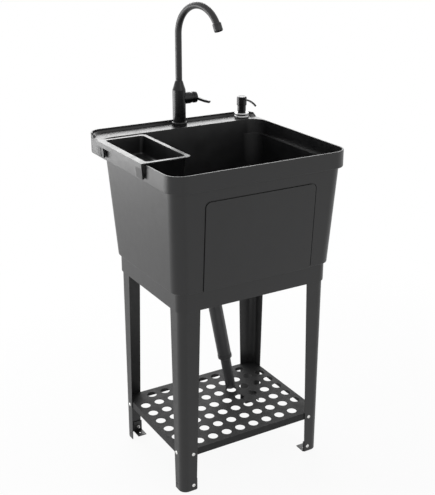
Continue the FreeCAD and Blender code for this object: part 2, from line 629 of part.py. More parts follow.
def build_tub():
    rim = box("rim_block", ("-rim_half", "rim_half"), ("-rim_front", "rim_back"),
              ("band_bottom", "rim_height"))
    rim = round_uprights("rim_rounded", rim, ("rim_corner", "rim_corner",
                                              "rim_back_corner", "rim_back_corner"))
    hollow = box("deck_hollow", ("-rim_half + tub_wall", "rim_half - tub_wall"),
                 ("deck_front - body_back_corner", "rim_back - tub_wall"),
                 ("band_bottom - 1", "deck_under"))
    hollow = round_uprights("deck_hollow_rounded", hollow,
                            ("", "", "rim_back_corner - tub_wall", "rim_back_corner - tub_wall"))
    mouth_wall = tapered("mouth_wall",
                         ("-rim_half - 1", "rim_half + 1", "-rim_front",
                          "deck_front + tub_wall - back_slope * (rim_height - band_bottom)"),
                         ("-rim_half - 1", "rim_half + 1", "-rim_front", "deck_front + tub_wall"),
                         ("band_bottom - 1", "rim_height"))
    mouth_wall = round_uprights("mouth_wall_rounded", mouth_wall,
                                ("", "", "body_back_corner", "body_back_corner"))
    shell = cut("rim_shell", rim, cut("deck_hollow_open", hollow, mouth_wall))
    walls = body_wedge("body_block", "0", "body_bottom", "rim_height - tub_wall / 2")
    walls = round_uprights("body_rounded", walls, ("body_corner", "body_corner",
                                                   "body_back_corner", "body_back_corner"))
    panel_face = body_wedge("panel_face", "tub_wall / 2", "body_bottom", "band_bottom",
                            "tub_wall / 2 + panel_proud")
    panel_field = box("panel_field", ("-panel_half", "panel_half"),
                      ("-rim_front", "-foot_front / 2"), ("body_bottom", "panel_top"))
    panel_field = round_edges(
        "panel_field_rounded", panel_field, "panel_corner",
        lambda edge: abs(edge.Vertexes[0].Z - worth("panel_top")) < 0.01
        and abs(edge.Vertexes[1].Z - worth("panel_top")) < 0.01
        and abs(edge.Vertexes[0].X - edge.Vertexes[1].X) < 0.01)
    panel = common("front_panel", panel_face, panel_field)
    skirt = box("skirt_block", ("-skirt_half_x", "skirt_half_x"),
                ("-skirt_half_y", "skirt_half_y"), ("skirt_bottom", "floor_top - tub_wall / 2"))
    skirt = round_uprights("skirt_rounded", skirt, ("skirt_corner",) * 4)
    socket = box("skirt_hollow", ("-skirt_half_x + skirt_wall", "skirt_half_x - skirt_wall"),
                 ("-skirt_half_y + skirt_wall", "skirt_half_y - skirt_wall"),
                 ("skirt_bottom - 1", "body_bottom"))
    socket = round_uprights("skirt_hollow_rounded", socket, ("skirt_corner - skirt_wall",) * 4)
    lip_outer = box("lip_outer", ("-rim_half", "rim_half"), ("-rim_front", "rim_back"),
                    ("deck_under", "rim_height + lip_height"))
    lip_outer = round_uprights("lip_outer_rounded", lip_outer,
                               ("", "", "rim_back_corner", "rim_back_corner"))
    lip_inner = box("lip_inner", ("-rim_half + tub_wall", "rim_half - tub_wall"),
                    ("-rim_front - 1", "rim_back - tub_wall"),
                    ("deck_under - 1", "rim_height + lip_height + 1"))
    lip_inner = round_uprights("lip_inner_rounded", lip_inner,
                               ("", "", "rim_back_corner - tub_wall",
                                "rim_back_corner - tub_wall"))
    lip_keep = tapered("lip_keep",
                       ("-rim_half - 1", "rim_half + 1", "rim_back - lip_reach - lip_height",
                        "rim_back + 1"),
                       ("-rim_half - 1", "rim_half + 1", "rim_back - lip_reach + lip_height",
                        "rim_back + 1"),
                       ("deck_under + 1", "rim_height + lip_height + 2"))
    lip = common("splash_lip", cut("lip_ring", lip_outer, lip_inner), lip_keep)
    raw = fuse("tub_outside", shell, walls, panel, skirt, lip)
    basin = body_wedge("basin_inside", "tub_wall", "floor_top", "ledge_top + tub_wall / 2")
    basin = round_uprights("basin_rounded", basin,
                           ("body_corner - tub_wall", "body_corner - tub_wall",
                            "body_back_corner - tub_wall", "body_back_corner - tub_wall"))
    mouth = tapered("mouth_inside",
                    ("-rim_half + tub_wall", "rim_half - tub_wall", "-rim_front + tub_wall",
                     "deck_front - back_slope * (rim_height - ledge_top)"),
                    ("-rim_half + tub_wall", "rim_half - tub_wall", "-rim_front + tub_wall",
                     "deck_front + back_slope"),
                    ("ledge_top", "rim_height + 1"))
    mouth = round_uprights("mouth_rounded", mouth,
                           ("rim_corner - tub_wall", "rim_corner - tub_wall",
                            "body_back_corner - tub_wall", "body_back_corner - tub_wall"))
    tap_hole = rod("tap_deck_hole", "tap_hole", "deck_under - 1", "rim_height + 1",
                   "tap_x", "tap_y")
    pump_hole = rod("pump_deck_hole", "pump_shank_radius + deck_hole_gap / 3",
                    "deck_under - 1", "rim_height + 1", "pump_x", "pump_y")
    drain = rod("drain_floor_hole", "drain_hole", "body_bottom - 1", "floor_top + 1",
                "drain_x", "drain_y")
    tub = cut("tub_hollowed", raw, basin, mouth, socket, tap_hole, pump_hole, drain)
    ribs = []
    for side_x, word_x in ((-1, "left"), (1, "right")):
        for side_y, word_y in ((-1, "front"), (1, "back")):
            ribs += leg_socket_ribs(side_x, side_y, word_y + "_" + word_x)
    whole = fuse("tub_whole", tub, *ribs)
    # the one moulding in three pieces that meet face to face: walls, floor and tap deck
    deck_zone = box("deck_zone", ("-rim_half - 1", "rim_half + 1"),
                    ("deck_front + tub_wall + deck_joint", "rim_back + 1"),
                    ("band_bottom - 1", "rim_height + lip_height + 1"))
    base_zone = box("base_zone", ("-rim_half", "rim_half"), ("-rim_front", "rim_back"),
                    ("skirt_bottom - 1", "floor_top"))
    subpart("tap_deck", common("tap_deck", whole, deck_zone))
    subpart("tub_base", common("tub_base", whole, base_zone))
    subpart("tub", cut("tub", whole, deck_zone, base_zone))


def span(side, near, far):
    """Low and high formulas of a stretch that is near..far from the middle, on one side."""
    if side > 0:
        return (near, far)
    return ("-(%s)" % far, "-(%s)" % near)


def leg_socket_ribs(side_x, side_y, corner):
    """Two ribs under the tub that trap a leg's flanges against the skirt."""
    height = ("body_bottom - rib_drop", "body_bottom + tub_wall / 2")
    behind_front = span(side_y, "leg_inner_y - leg_clearance - rib_wall",
                        "leg_inner_y - leg_clearance")
    along_front = span(side_x, "leg_half_x - leg_corner - rib_length", "leg_half_x - leg_corner")
    behind_side = span(side_x, "leg_inner_x - leg_clearance - rib_wall",
                       "leg_inner_x - leg_clearance")
    along_side = span(side_y, "leg_half_y - leg_corner - rib_length", "leg_half_y - leg_corner")
    return [box("rib_front_" + corner, along_front, behind_front, height),
            box("rib_side_" + corner, behind_side, along_side, height)]


build_tub()

# ---------------------------------------------------------------- legs, shelf and feet


def build_legs():
    outer = tapered("leg_outer",
                    ("-leg_half_x", "-leg_half_x + leg_foot_front",
                     "-leg_half_y", "-leg_half_y + leg_foot_side"),
                    ("-leg_half_x", "-leg_half_x + leg_top_front",
                     "-leg_half_y", "-leg_half_y + leg_top_side"),
                    ("0", "body_bottom"))
    outer = round_uprights("leg_outer_rounded", outer, ("leg_corner", "", "", ""))
    inner = box("leg_inner", ("-leg_half_x + leg_sheet", "-leg_half_x + leg_top_front + 1"),
                ("-leg_half_y + leg_sheet", "-leg_half_y + leg_top_side + 1"),
                ("-1", "body_bottom + 1"))
    inner = round_uprights("leg_inner_rounded", inner, ("leg_corner - leg_sheet", "", "", ""))
    holes = []
    for level in ("shelf_screw_height", "foot_screw_height"):
        holes.append(rod_along("leg_front_hole_" + level, "Y", "screw_hole",
                               "-leg_half_y - 1", "-leg_half_y + leg_sheet + 1",
                               "-screw_x", level))
        holes.append(rod_along("leg_side_hole_" + level, "X", "screw_hole",
                               "-leg_half_x - 1", "-leg_half_x + leg_sheet + 1",
                               "-screw_y", level))
    front_left = subpart("leg_front_left", cut("leg_front_left", outer, inner, *holes))
    front_right = subpart("leg_front_right", mirror("leg_front_right", front_left, AXIS_X))
    subpart("leg_back_left", mirror("leg_back_left", front_left, AXIS_Y))
    subpart("leg_back_right", mirror("leg_back_right", front_right, AXIS_Y))


def build_brackets():
    outside = "-leg_half_y + leg_sheet"
    across = ("-screw_x - bracket_width / 2", "-screw_x + bracket_width / 2")
    plate = box("bracket_plate", across, (outside, outside + " + bracket_sheet"),
                ("0", "bracket_height"))
    tab = box("bracket_tab", across, (outside, outside + " + bracket_depth"),
              ("0", "bracket_sheet"))
    anchor = rod("bracket_anchor_hole", "anchor_radius", "-1", "bracket_sheet + 1",
                 "-screw_x", "-anchor_y")
    hole = rod_along("bracket_screw_hole", "Y", "screw_hole", outside + " - 1",
                     outside + " + bracket_sheet + 1", "-screw_x", "foot_screw_height")
    blank = fuse("bracket_blank", plate, tab)
    front_left = subpart("foot_bracket_front_left",
                         cut("foot_bracket_front_left", blank, anchor, hole))
    front_right = subpart("foot_bracket_front_right",
                          mirror("foot_bracket_front_right", front_left, AXIS_X))
    subpart("foot_bracket_back_left", mirror("foot_bracket_back_left", front_left, AXIS_Y))
    subpart("foot_bracket_back_right", mirror("foot_bracket_back_right", front_right, AXIS_Y))


def build_shelf():
    """Plate with turned-down edges and a grid of round holes. The corner holes are left out."""
    body = doc.addObject("PartDesign::Body", "shelf_plate")
    plate = outline(body, "shelf_plan", "XY_Plane",
                    [("-shelf_half_x", "-shelf_half_y"), ("shelf_half_x", "-shelf_half_y"),
                     ("shelf_half_x", "shelf_half_y"), ("-shelf_half_x", "shelf_half_y")])
    pad = body.newObject("PartDesign::Pad", "shelf_block")
    pad.Profile = plate
    bind(pad, Length="shelf_flange")
    doc.recompute()
    uprights = ["Edge%d" % (index + 1) for index, edge in enumerate(pad.Shape.Edges)
                if abs(edge.Vertexes[0].Z - edge.Vertexes[-1].Z) > worth("shelf_flange") / 2]
    corners = body.newObject("PartDesign::Fillet", "shelf_corners")
    corners.Base = (pad, uprights)
    bind(corners, Radius="shelf_corner")
    doc.recompute()
    under = ["Face%d" % (index + 1) for index, face in enumerate(corners.Shape.Faces)
             if face.BoundBox.ZMax < 0.01]
    shell = body.newObject("PartDesign::Thickness", "shelf_folded")
    shell.Base = (corners, under)
    shell.Reversed = True
    bind(shell, Value="shelf_sheet")
    doc.recompute()
    inner_rows = vent_block(body, "vents_inner", "vent_columns - 2", "vent_rows")
    outer_rows = vent_block(body, "vents_outer", "vent_columns", "vent_rows - 2")
    body.Tip = outer_rows
    put(body, "0", "0", "shelf_under")
    holes = []
    for side, word in ((-1, "left"), (1, "right")):
        for depth, end in ((-1, "front"), (1, "back")):
            holes.append(rod_along("shelf_hole_front_%s_%s" % (word, end), "Y", "screw_hole",
                                   *span(depth, "shelf_half_y - shelf_sheet - 1",
                                         "shelf_half_y + 1"),
                                   "%d * screw_x" % side, "shelf_screw_height"))
            holes.append(rod_along("shelf_hole_side_%s_%s" % (word, end), "X", "screw_hole",
                                   *span(side, "shelf_half_x - shelf_sheet - 1",
                                         "shelf_half_x + 1"),
                                   "%d * screw_y" % depth, "shelf_screw_height"))
    whole = cut("shelf_whole", body, *holes)
    # the one folded sheet in two pieces that meet face to face: plate and turned-down edge
    plate_zone = box("plate_zone", ("-shelf_half_x - 1", "shelf_half_x + 1"),
                     ("-shelf_half_y - 1", "shelf_half_y + 1"),
                     ("shelf_top - shelf_sheet", "shelf_top + 1"))
    subpart("shelf", common("shelf", whole, plate_zone))
    subpart("shelf_edge", cut("shelf_edge", whole, plate_zone))


def vent_block(body, name, columns, rows):
    """A rectangular block of shelf holes, cut as one hole and its pattern."""
    sketch = body.newObject("Sketcher::SketchObject", name + "_circle")
    sketch.AttachmentSupport = (origin_plane(body, "XY_Plane"), [""])
    sketch.MapMode = "FlatFace"
    first_x = "-(%s - 1) / 2 * vent_pitch_x" % columns
    first_y = "-(%s - 1) / 2 * vent_pitch_y" % rows
    centre = FreeCAD.Vector(worth(first_x), worth(first_y), 0)
    sketch.addGeometry(Part.Circle(centre, AXIS_Z, worth("vent_radius")), False)
    for kind, args, text in (("Radius", (0, worth("vent_radius")), "vent_radius"),
                             ("DistanceX", (-1, 1, 0, 3, centre.x), first_x),
                             ("DistanceY", (-1, 1, 0, 3, centre.y), first_y)):
        number = sketch.addConstraint(Sketcher.Constraint(kind, *args))
        sketch.setExpression("Constraints[%d]" % number, formula(text))
    pocket = body.newObject("PartDesign::Pocket", name + "_first")
    pocket.Profile = sketch
    pocket.Type = "Length"
    pocket.Reversed = True
    bind(pocket, Length="shelf_flange + 1")
    doc.recompute()
    pattern = body.newObject("PartDesign::LinearPattern", name + "_pattern")
    pattern.Originals = [pocket]
    pattern.Direction = (sketch, ["H_Axis"])
    pattern.Direction2 = (sketch, ["V_Axis"])
    pattern.Occurrences = int(round(worth(columns)))
    pattern.Occurrences2 = int(round(worth(rows)))
    bind(pattern, Length="(%s - 1) * vent_pitch_x" % columns,
         Length2="(%s - 1) * vent_pitch_y" % rows)
    body.Tip = pattern
    doc.recompute()
    return pattern


def screw(name, axis, side, face, a, b):
    """Pan-head screw through a flange whose outer face is at `face`, driven from outside."""
    shank = rod_along(name + "_shank", axis, "screw_radius",
                      *span(side, face + " - screw_length", face), a, b)
    head = rod_along(name + "_head", axis, "head_radius",
                     *span(side, face, face + " + head_height"), a, b)
    head = round_edges(name + "_head_rounded", head, "head_height * 0.45",
                       lambda edge: far_edge(edge, axis, head))
    return fuse(name, shank, head)


def far_edge(edge, axis, item):
    """True for the circular edge of a screw head that is farthest from the middle."""
    if edge.Curve.TypeId != "Part::GeomCircle":
        return False
    reach = edge.Curve.Center.x if axis == "X" else edge.Curve.Center.y
    limits = item.Shape.BoundBox
    ends = (limits.XMin, limits.XMax) if axis == "X" else (limits.YMin, limits.YMax)
    return abs(abs(reach) - max(abs(ends[0]), abs(ends[1]))) < 0.001


def flange_nut(name, axis, side, inner_face, a, b):
    """Hexagon nut against the inner face of what the screw holds."""
    prism = doc.addObject("Part::Prism", name + "_hexagon")
    prism.Polygon = 6
    bind(prism, Circumradius="nut_radius", Height="nut_height")
    low, high = span(side, inner_face + " - nut_height", inner_face)
    if axis == "X":
        turn(prism, AXIS_Y, "90")
        put(prism, low, a, b)
    else:
        turn(prism, AXIS_X, "-90")
        put(prism, a, low, b)
    hole = rod_along(name + "_bore", axis, "screw_radius + thread_gap",
                     low + " - 1", high + " + 1", a, b)
    return cut(name, prism, hole)


def build_fasteners():
    shelf_screws, shelf_nuts, foot_screws, foot_nuts = [], [], [], []
    shelf_inner_x = "shelf_half_x - shelf_sheet"
    shelf_inner_y = "shelf_half_y - shelf_sheet"
    for side_x in (-1, 1):
        for side_y in (-1, 1):
            tag = ("l" if side_x < 0 else "r") + ("f" if side_y < 0 else "b")
            at_x = "%d * screw_x" % side_x
            at_y = "%d * screw_y" % side_y
            shelf_screws.append(screw("shelf_screw_y_" + tag, "Y", side_y, "leg_half_y",
                                      at_x, "shelf_screw_height"))
            shelf_screws.append(screw("shelf_screw_x_" + tag, "X", side_x, "leg_half_x",
                                      at_y, "shelf_screw_height"))
            shelf_nuts.append(flange_nut("shelf_nut_y_" + tag, "Y", side_y, shelf_inner_y,
                                         at_x, "shelf_screw_height"))
            shelf_nuts.append(flange_nut("shelf_nut_x_" + tag, "X", side_x, shelf_inner_x,
                                         at_y, "shelf_screw_height"))
            foot_screws.append(screw("foot_screw_" + tag, "Y", side_y, "leg_half_y",
                                     at_x, "foot_screw_height"))
            foot_nuts.append(flange_nut("foot_nut_" + tag, "Y", side_y,
                                        "leg_inner_y - bracket_sheet", at_x,
                                        "foot_screw_height"))
    subpart("shelf_screws", group("shelf_screws", *shelf_screws))
    subpart("shelf_nuts", group("shelf_nuts", *shelf_nuts))
    subpart("foot_screws", group("foot_screws", *foot_screws))
    subpart("foot_nuts", group("foot_nuts", *foot_nuts))


build_legs()
build_brackets()
build_shelf()
build_fasteners()

# ---------------------------------------------------------------- soap tray


def build_tray():
    flange = box("tray_flange_plate", ("tray_left", "tray_right"), ("tray_front", "tray_back"),
                 ("rim_height", "tray_top"))
    flange = round_uprights("tray_flange_rounded", flange, ("", "tray_corner", "",
                                                            "tray_corner"))
    cup_low = ("tray_in_left + tray_draft_left", "tray_right - tray_edge - tray_draft",
               "tray_front + tray_edge + tray_draft", "tray_back - tray_edge - tray_draft")
    cup_high = ("tray_in_left", "tray_right - tray_edge", "tray_front + tray_edge",
                "tray_back - tray_edge")
    cup = tapered("tray_cup", cup_low, cup_high, ("tray_bottom", "rim_height + tray_flange / 2"))
    cup = round_uprights("tray_cup_rounded", cup, ("tray_corner",) * 4)
    inside_low = ("tray_in_left + tray_draft_left + tray_wall",
                  "tray_right - tray_edge - tray_draft - tray_wall",
                  "tray_front + tray_edge + tray_draft + tray_wall",
                  "tray_back - tray_edge - tray_draft - tray_wall")
    inside_high = ("tray_in_left + tray_wall", "tray_right - tray_edge - tray_wall",
                   "tray_front + tray_edge + tray_wall", "tray_back - tray_edge - tray_wall")
    inside = tapered("tray_inside", inside_low, inside_high,
                     ("tray_bottom + tray_wall", "tray_top + 1"))
    inside = round_uprights("tray_inside_rounded", inside, ("tray_corner - tray_wall",) * 4)
    lip = box("tray_lip", ("tray_left", "tray_left + tray_lip_wall"),
              ("tray_front", "tray_back"), ("tray_top - tray_lip_drop", "tray_top"))
    hooks = [tray_hook("front", "tray_front", "tray_front + hook_width"),
             tray_hook("back", "tray_back - hook_width", "tray_back")]
    solid = fuse("tray_solid", flange, cup, lip, *hooks)
    subpart("soap_tray", cut("soap_tray", solid, inside))


def tray_hook(word, near, far):
    """Hook that hangs outside the rim band, with a toe that bears on the band."""
    bottom = "(tray_top - hook_drop)"
    blade = tapered("tray_hook_" + word,
                    ("tray_left + hook_lean", "tray_left + hook_lean + tray_lip_wall",
                     near, far),
                    ("tray_left", "tray_left + tray_lip_wall", near, far),
                    (bottom, "tray_top"))
    toe = tapered("tray_toe_" + word,
                  ("tray_left + hook_lean", "tray_left + hook_lean + tray_lip_wall", near, far),
                  ("tray_left + hook_lean", "-rim_half - toe_gap", near, far),
                  (bottom, bottom + " + toe_height"))
    return fuse("tray_hook_%s_whole" % word, blade, toe)


build_tray()

# ---------------------------------------------------------------- tap


def at_tap(name, points):
    return turned(name, points, "tap_x", "tap_y")


def build_tap_body():
    ring_bottom = "rim_height + tap_gasket"
    subpart("tap_gasket", tube("tap_gasket", "tap_ring_radius - 1", "tap_hole", "rim_height",
                               ring_bottom, "tap_x", "tap_y"))
    subpart("tap_base_ring", at_tap("tap_base_ring", [
        ("tap_hole - 1", ring_bottom), ("tap_ring_radius", ring_bottom),
        ("tap_ring_radius", "tap_seat - 2.5"), ("tap_ring_radius - 1.5", "tap_seat - 0.8"),
        ("tap_ring_radius - 2.6", "tap_seat"), ("tap_hole - 1", "tap_seat")]))
    socket_floor = "(spout_foot - 0.3)"
    upright = at_tap("tap_body_upright", [
        ("0", "tap_seat + shank_grip"), ("shank_radius + thread_fit", "tap_seat + shank_grip"),
        ("shank_radius + thread_fit", "tap_seat"), ("tap_body_radius", "tap_seat"),
        ("tap_body_radius", "cone_base"), ("tap_neck_radius", "cone_top"),
        ("spout_bore", "cone_top"), ("spout_bore", socket_floor), ("0", socket_floor)])
    hub = rod_along("tap_hub", "X", "hub_radius", "tap_x", "hub_end", "tap_y", "hub_z")
    chamber = rod_along("tap_chamber", "X", "cartridge_radius + thread_fit",
                        "tap_x + cartridge_start", "hub_end + 1", "tap_y", "hub_z")
    solid = fuse("tap_body_solid", upright, hub)
    spout_clear = rod("spout_clear", "spout_bore", socket_floor, "cone_top + 1",
                      "tap_x", "tap_y")
    subpart("tap_body", cut("tap_body", solid, chamber, spout_clear))


def build_spout():
    riser = rod("spout_riser", "spout_radius", "spout_foot", "bend_start")
    riser_bore = rod("spout_riser_bore", "spout_radius - spout_wall", "spout_foot - 1",
                     "bend_start")
    bend = gooseneck("spout_bend", "spout_radius")
    bend_bore = gooseneck("spout_bend_bore", "spout_radius - spout_wall")
    solid = fuse("spout_solid", riser, bend)
    grooves = []
    for index in (1, 2):
        level = "(spout_foot + %d * 5 * ring_groove)" % index
        grooves.append(tube("spout_groove_%d" % index, "spout_radius + 1",
                            "spout_radius - ring_groove_depth",
                            level + " - ring_groove / 2", level + " + ring_groove / 2"))
    spout = cut("spout_upright", solid, riser_bore, bend_bore, *grooves)
    subpart("spout", swing("spout", spout))
    rings = []
    for index in (1, 2):
        ring = doc.addObject("Part::Torus", "spout_ring_%d" % index)
        bind(ring, Radius1="spout_radius - ring_groove_depth + ring_section + thread_gap",
             Radius2="ring_section")
        put(ring, "0", "0", "spout_foot + %d * 5 * ring_groove" % index)
        rings.append(ring)
    subpart("spout_seals", swing("spout_seals", group("spout_rings", *rings)))
    build_aerator()


def gooseneck(name, radius):
    """Quarter-plane torus piece that starts upright at the riser's top and bends forward."""
    item = doc.addObject("Part::Torus", name)
    bind(item, Radius1="spout_arc", Radius2=radius, Angle3="spout_turn")
    # the ring's own axis is turned level, so that the sweep starts at the riser and goes up
    # and over towards -Y
    item.Placement = FreeCAD.Placement(
        FreeCAD.Vector(0, 0, 0),
        FreeCAD.Rotation(FreeCAD.Vector(0, 1, 0), FreeCAD.Vector(0, 0, 1),
                         FreeCAD.Vector(1, 0, 0), "XYZ"))
    item.setExpression(".Placement.Base.y", formula("-spout_arc"))
    item.setExpression(".Placement.Base.z", formula("bend_start"))
    return item


def swing(name, item):
    """Carry a tap part drawn at the origin to the tap's axis, turned to the spout's yaw."""
    carrier = doc.addObject("Part::Compound", name)
    carrier.Links = [item]
    turn(carrier, AXIS_Z, "spout_yaw")
    return put(carrier, "tap_x", "tap_y", "0")


def at_spout_end(item):
    """Seat a part, drawn along +Z from the end of the spout, on the end of the gooseneck."""
    item.Placement = FreeCAD.Placement(FreeCAD.Vector(0, 0, 0),
                                       FreeCAD.Rotation(AXIS_X, 1))
    item.setExpression(".Placement.Rotation.Angle", formula("spout_turn"))
    item.setExpression(".Placement.Base.y", formula("-spout_arc + spout_arc * cos(spout_turn)"))
    item.setExpression(".Placement.Base.z", formula("bend_start + spout_arc * sin(spout_turn)"))
    return item


def build_aerator():
    inside = "spout_radius + slip_fit"
    shoulder = "0.3"
    front = "aerator_length - 1.2"
    housing = turned("aerator_housing_turned", [
        (inside, "-aerator_overlap"), ("aerator_radius - 1", "-aerator_overlap"),
        ("aerator_radius", "-aerator_overlap + 1"), ("aerator_radius", front + " - aerator_overlap"),
        ("aerator_radius - 0.8", "aerator_length - aerator_overlap"),
        ("aerator_radius - 2.2", "aerator_length - aerator_overlap"),
        ("aerator_radius - 2.2", shoulder + " + 3"), ("spout_radius - 2 * spout_wall", shoulder + " + 3"),
        ("spout_radius - 2 * spout_wall", shoulder), (inside, shoulder)])
    bend_clear = gooseneck("aerator_bend_clear", inside)
    seated = group("aerator_housing_seated", housing)
    at_spout_end(seated)
    subpart("aerator_housing", swing("aerator_housing", cut("aerator_housing_cut", seated,
                                                            bend_clear)))
    insert = rod("aerator_disc", "aerator_radius - 2.2 - slip_fit", shoulder + " + 3.1",
                 shoulder + " + 6.1")
    holes = []
    for index in range(8):
        hole = rod("aerator_hole_%d" % index, "0.9", shoulder + " + 2", shoulder + " + 7",
                   "5 * cos(%d)" % (45 * index), "5 * sin(%d)" % (45 * index))
        holes.append(hole)
    seated_insert = group("aerator_insert_seated", cut("aerator_disc_drilled", insert, *holes))
    at_spout_end(seated_insert)
    subpart("aerator_screen", swing("aerator_screen_on_spout", seated_insert))


def build_lever():
    subpart("cartridge", cut(
        "cartridge",
        rod_along("cartridge_block", "X", "cartridge_radius", "tap_x + cartridge_start",
                  "hub_end", "tap_y", "hub_z"),
        rod_along("cartridge_bore", "X", "spindle_radius + spindle_running",
                  "tap_x + cartridge_start + 4", "hub_end + 1", "tap_y", "hub_z")))
    subpart("cartridge_ring", cut(
        "cartridge_ring",
        rod_along("cartridge_ring_block", "X", "cap_ring_radius", "hub_end",
                  "hub_end + cap_ring", "tap_y", "hub_z"),
        rod_along("cartridge_ring_bore", "X", "spindle_radius + 1", "hub_end - 1",
                  "hub_end + cap_ring + 1", "tap_y", "hub_z")))
    dome = ball_slice("spindle_dome", "dome_radius", "-dome_back", "dome_front",
                      "pivot_x", "tap_y", "hub_z")
    shaft = rod_along("spindle_shaft", "X", "spindle_radius", "tap_x + cartridge_start + 4.3",
                      "pivot_x", "tap_y", "hub_z")
    slot = box("spindle_slot", ("pivot_x - dome_back + 0.4", "pivot_x + dome_front + 1"),
               ("tap_y - dome_radius / 2", "tap_y + dome_radius / 2"),
               ("hub_z - stem_slot / 2", "hub_z + stem_slot / 2"))
    pin_hole = rod("spindle_pin_hole", "pin_radius + thread_gap",
                   "hub_z - dome_radius + 3 - thread_gap",
                   "hub_z + dome_radius - 3 + thread_gap", "pivot_x", "tap_y")
    subpart("lever_spindle", cut("lever_spindle", fuse("spindle_solid", dome, shaft), slot,
                                 pin_hole))
    subpart("lever_pin", rod("lever_pin", "pin_radius", "hub_z - dome_radius + 3",
                             "hub_z + dome_radius - 3", "pivot_x", "tap_y"))
    cap = rod_along("handle_cap", "X", "cap_radius", "pivot_x + cap_back",
                    "pivot_x + cap_front", "tap_y", "hub_z")
    cap = round_edges("handle_cap_rounded", cap, "1.8",
                      lambda edge: far_edge(edge, "X", cap))
    cavity = ball_slice("handle_cavity", "dome_radius + dome_gap", "-dome_radius",
                        "cap_cavity", "pivot_x", "tap_y", "hub_z")
    bar = lever_bar()
    stem = rod_along("handle_stem", "X", "stem_radius", "pivot_x - stem_back",
                     "pivot_x + cap_cavity + 1", "tap_y", "hub_z")
    stem_hole = rod("handle_pin_hole", "pin_radius + pin_running", "hub_z - stem_radius - 1",
                    "hub_z + stem_radius + 1", "pivot_x", "tap_y")
    head = cut("handle_head", fuse("handle_solid", cap, bar), cavity)
    subpart("lever_handle", cut("lever_handle", fuse("handle_with_stem", head, stem),
                                stem_hole))


def lever_bar():
    """Flat bar with a kinked, thinner tip. Drawn along -Y and then turned to its yaw."""
    body = doc.addObject("PartDesign::Body", "lever_bar")
    knee = "lever_length * 0.62"
    points = [("-lever_root", "-lever_thick / 2"), ("-lever_root", "lever_thick / 2"),
              ("-" + knee, "lever_thick / 2 - 0.4"), ("-lever_length + 1", "lever_thick / 2 + 1.4"),
              ("-lever_length", "lever_thick / 2 + 0.2"), ("-lever_length + 1.2", "-lever_thick / 2 + 2"),
              ("-" + knee + " - 2", "-lever_thick / 2")]
    sketch = outline(body, "lever_side", "YZ_Plane", points)
    pad = body.newObject("PartDesign::Pad", "lever_pad")
    pad.Profile = sketch
    pad.SideType = "Symmetric"
    bind(pad, Length="lever_width")
    body.Placement = FreeCAD.Placement(
        FreeCAD.Vector(0, 0, 0),
        FreeCAD.Rotation(AXIS_Z, worth("lever_yaw")) * FreeCAD.Rotation(AXIS_X, worth("lever_drop")))
    return put(body, "pivot_x + cap_front / 2", "tap_y", "hub_z")


def build_tap_underside():
    shank = rod("shank_block", "shank_radius", "shank_bottom", "tap_seat + shank_grip",
                "tap_x", "tap_y")
    inlets = [rod("inlet_%s" % word, "inlet_radius", "shank_bottom - 1",
                  "shank_bottom + inlet_depth", "tap_x + %d * inlet_spacing / 2" % side, "tap_y")
              for side, word in ((-1, "hot"), (1, "cold"))]
    subpart("tap_shank", cut("tap_shank", shank, *inlets))
    bore = "shank_radius + thread_fit"
    level = "deck_under"
    for label, radius, thick in (("tap_rubber_washer", "washer_radius", "soft_washer"),
                                 ("tap_steel_washer", "washer_radius", "hard_washer")):
        lower = level + " - " + thick
        subpart(label, tube(label, radius, bore, lower, level, "tap_x", "tap_y"))
        level = lower
    subpart("tap_lock_nut", hex_nut("tap_lock_nut", "lock_nut_radius", bore,
                                    level + " - lock_nut_height", level, "tap_x", "tap_y"))


build_tap_body()
build_spout()
build_lever()
build_tap_underside()

# ---------------------------------------------------------------- soap pump


def at_pump(name, points):
    return turned(name, points, "pump_x", "pump_y")


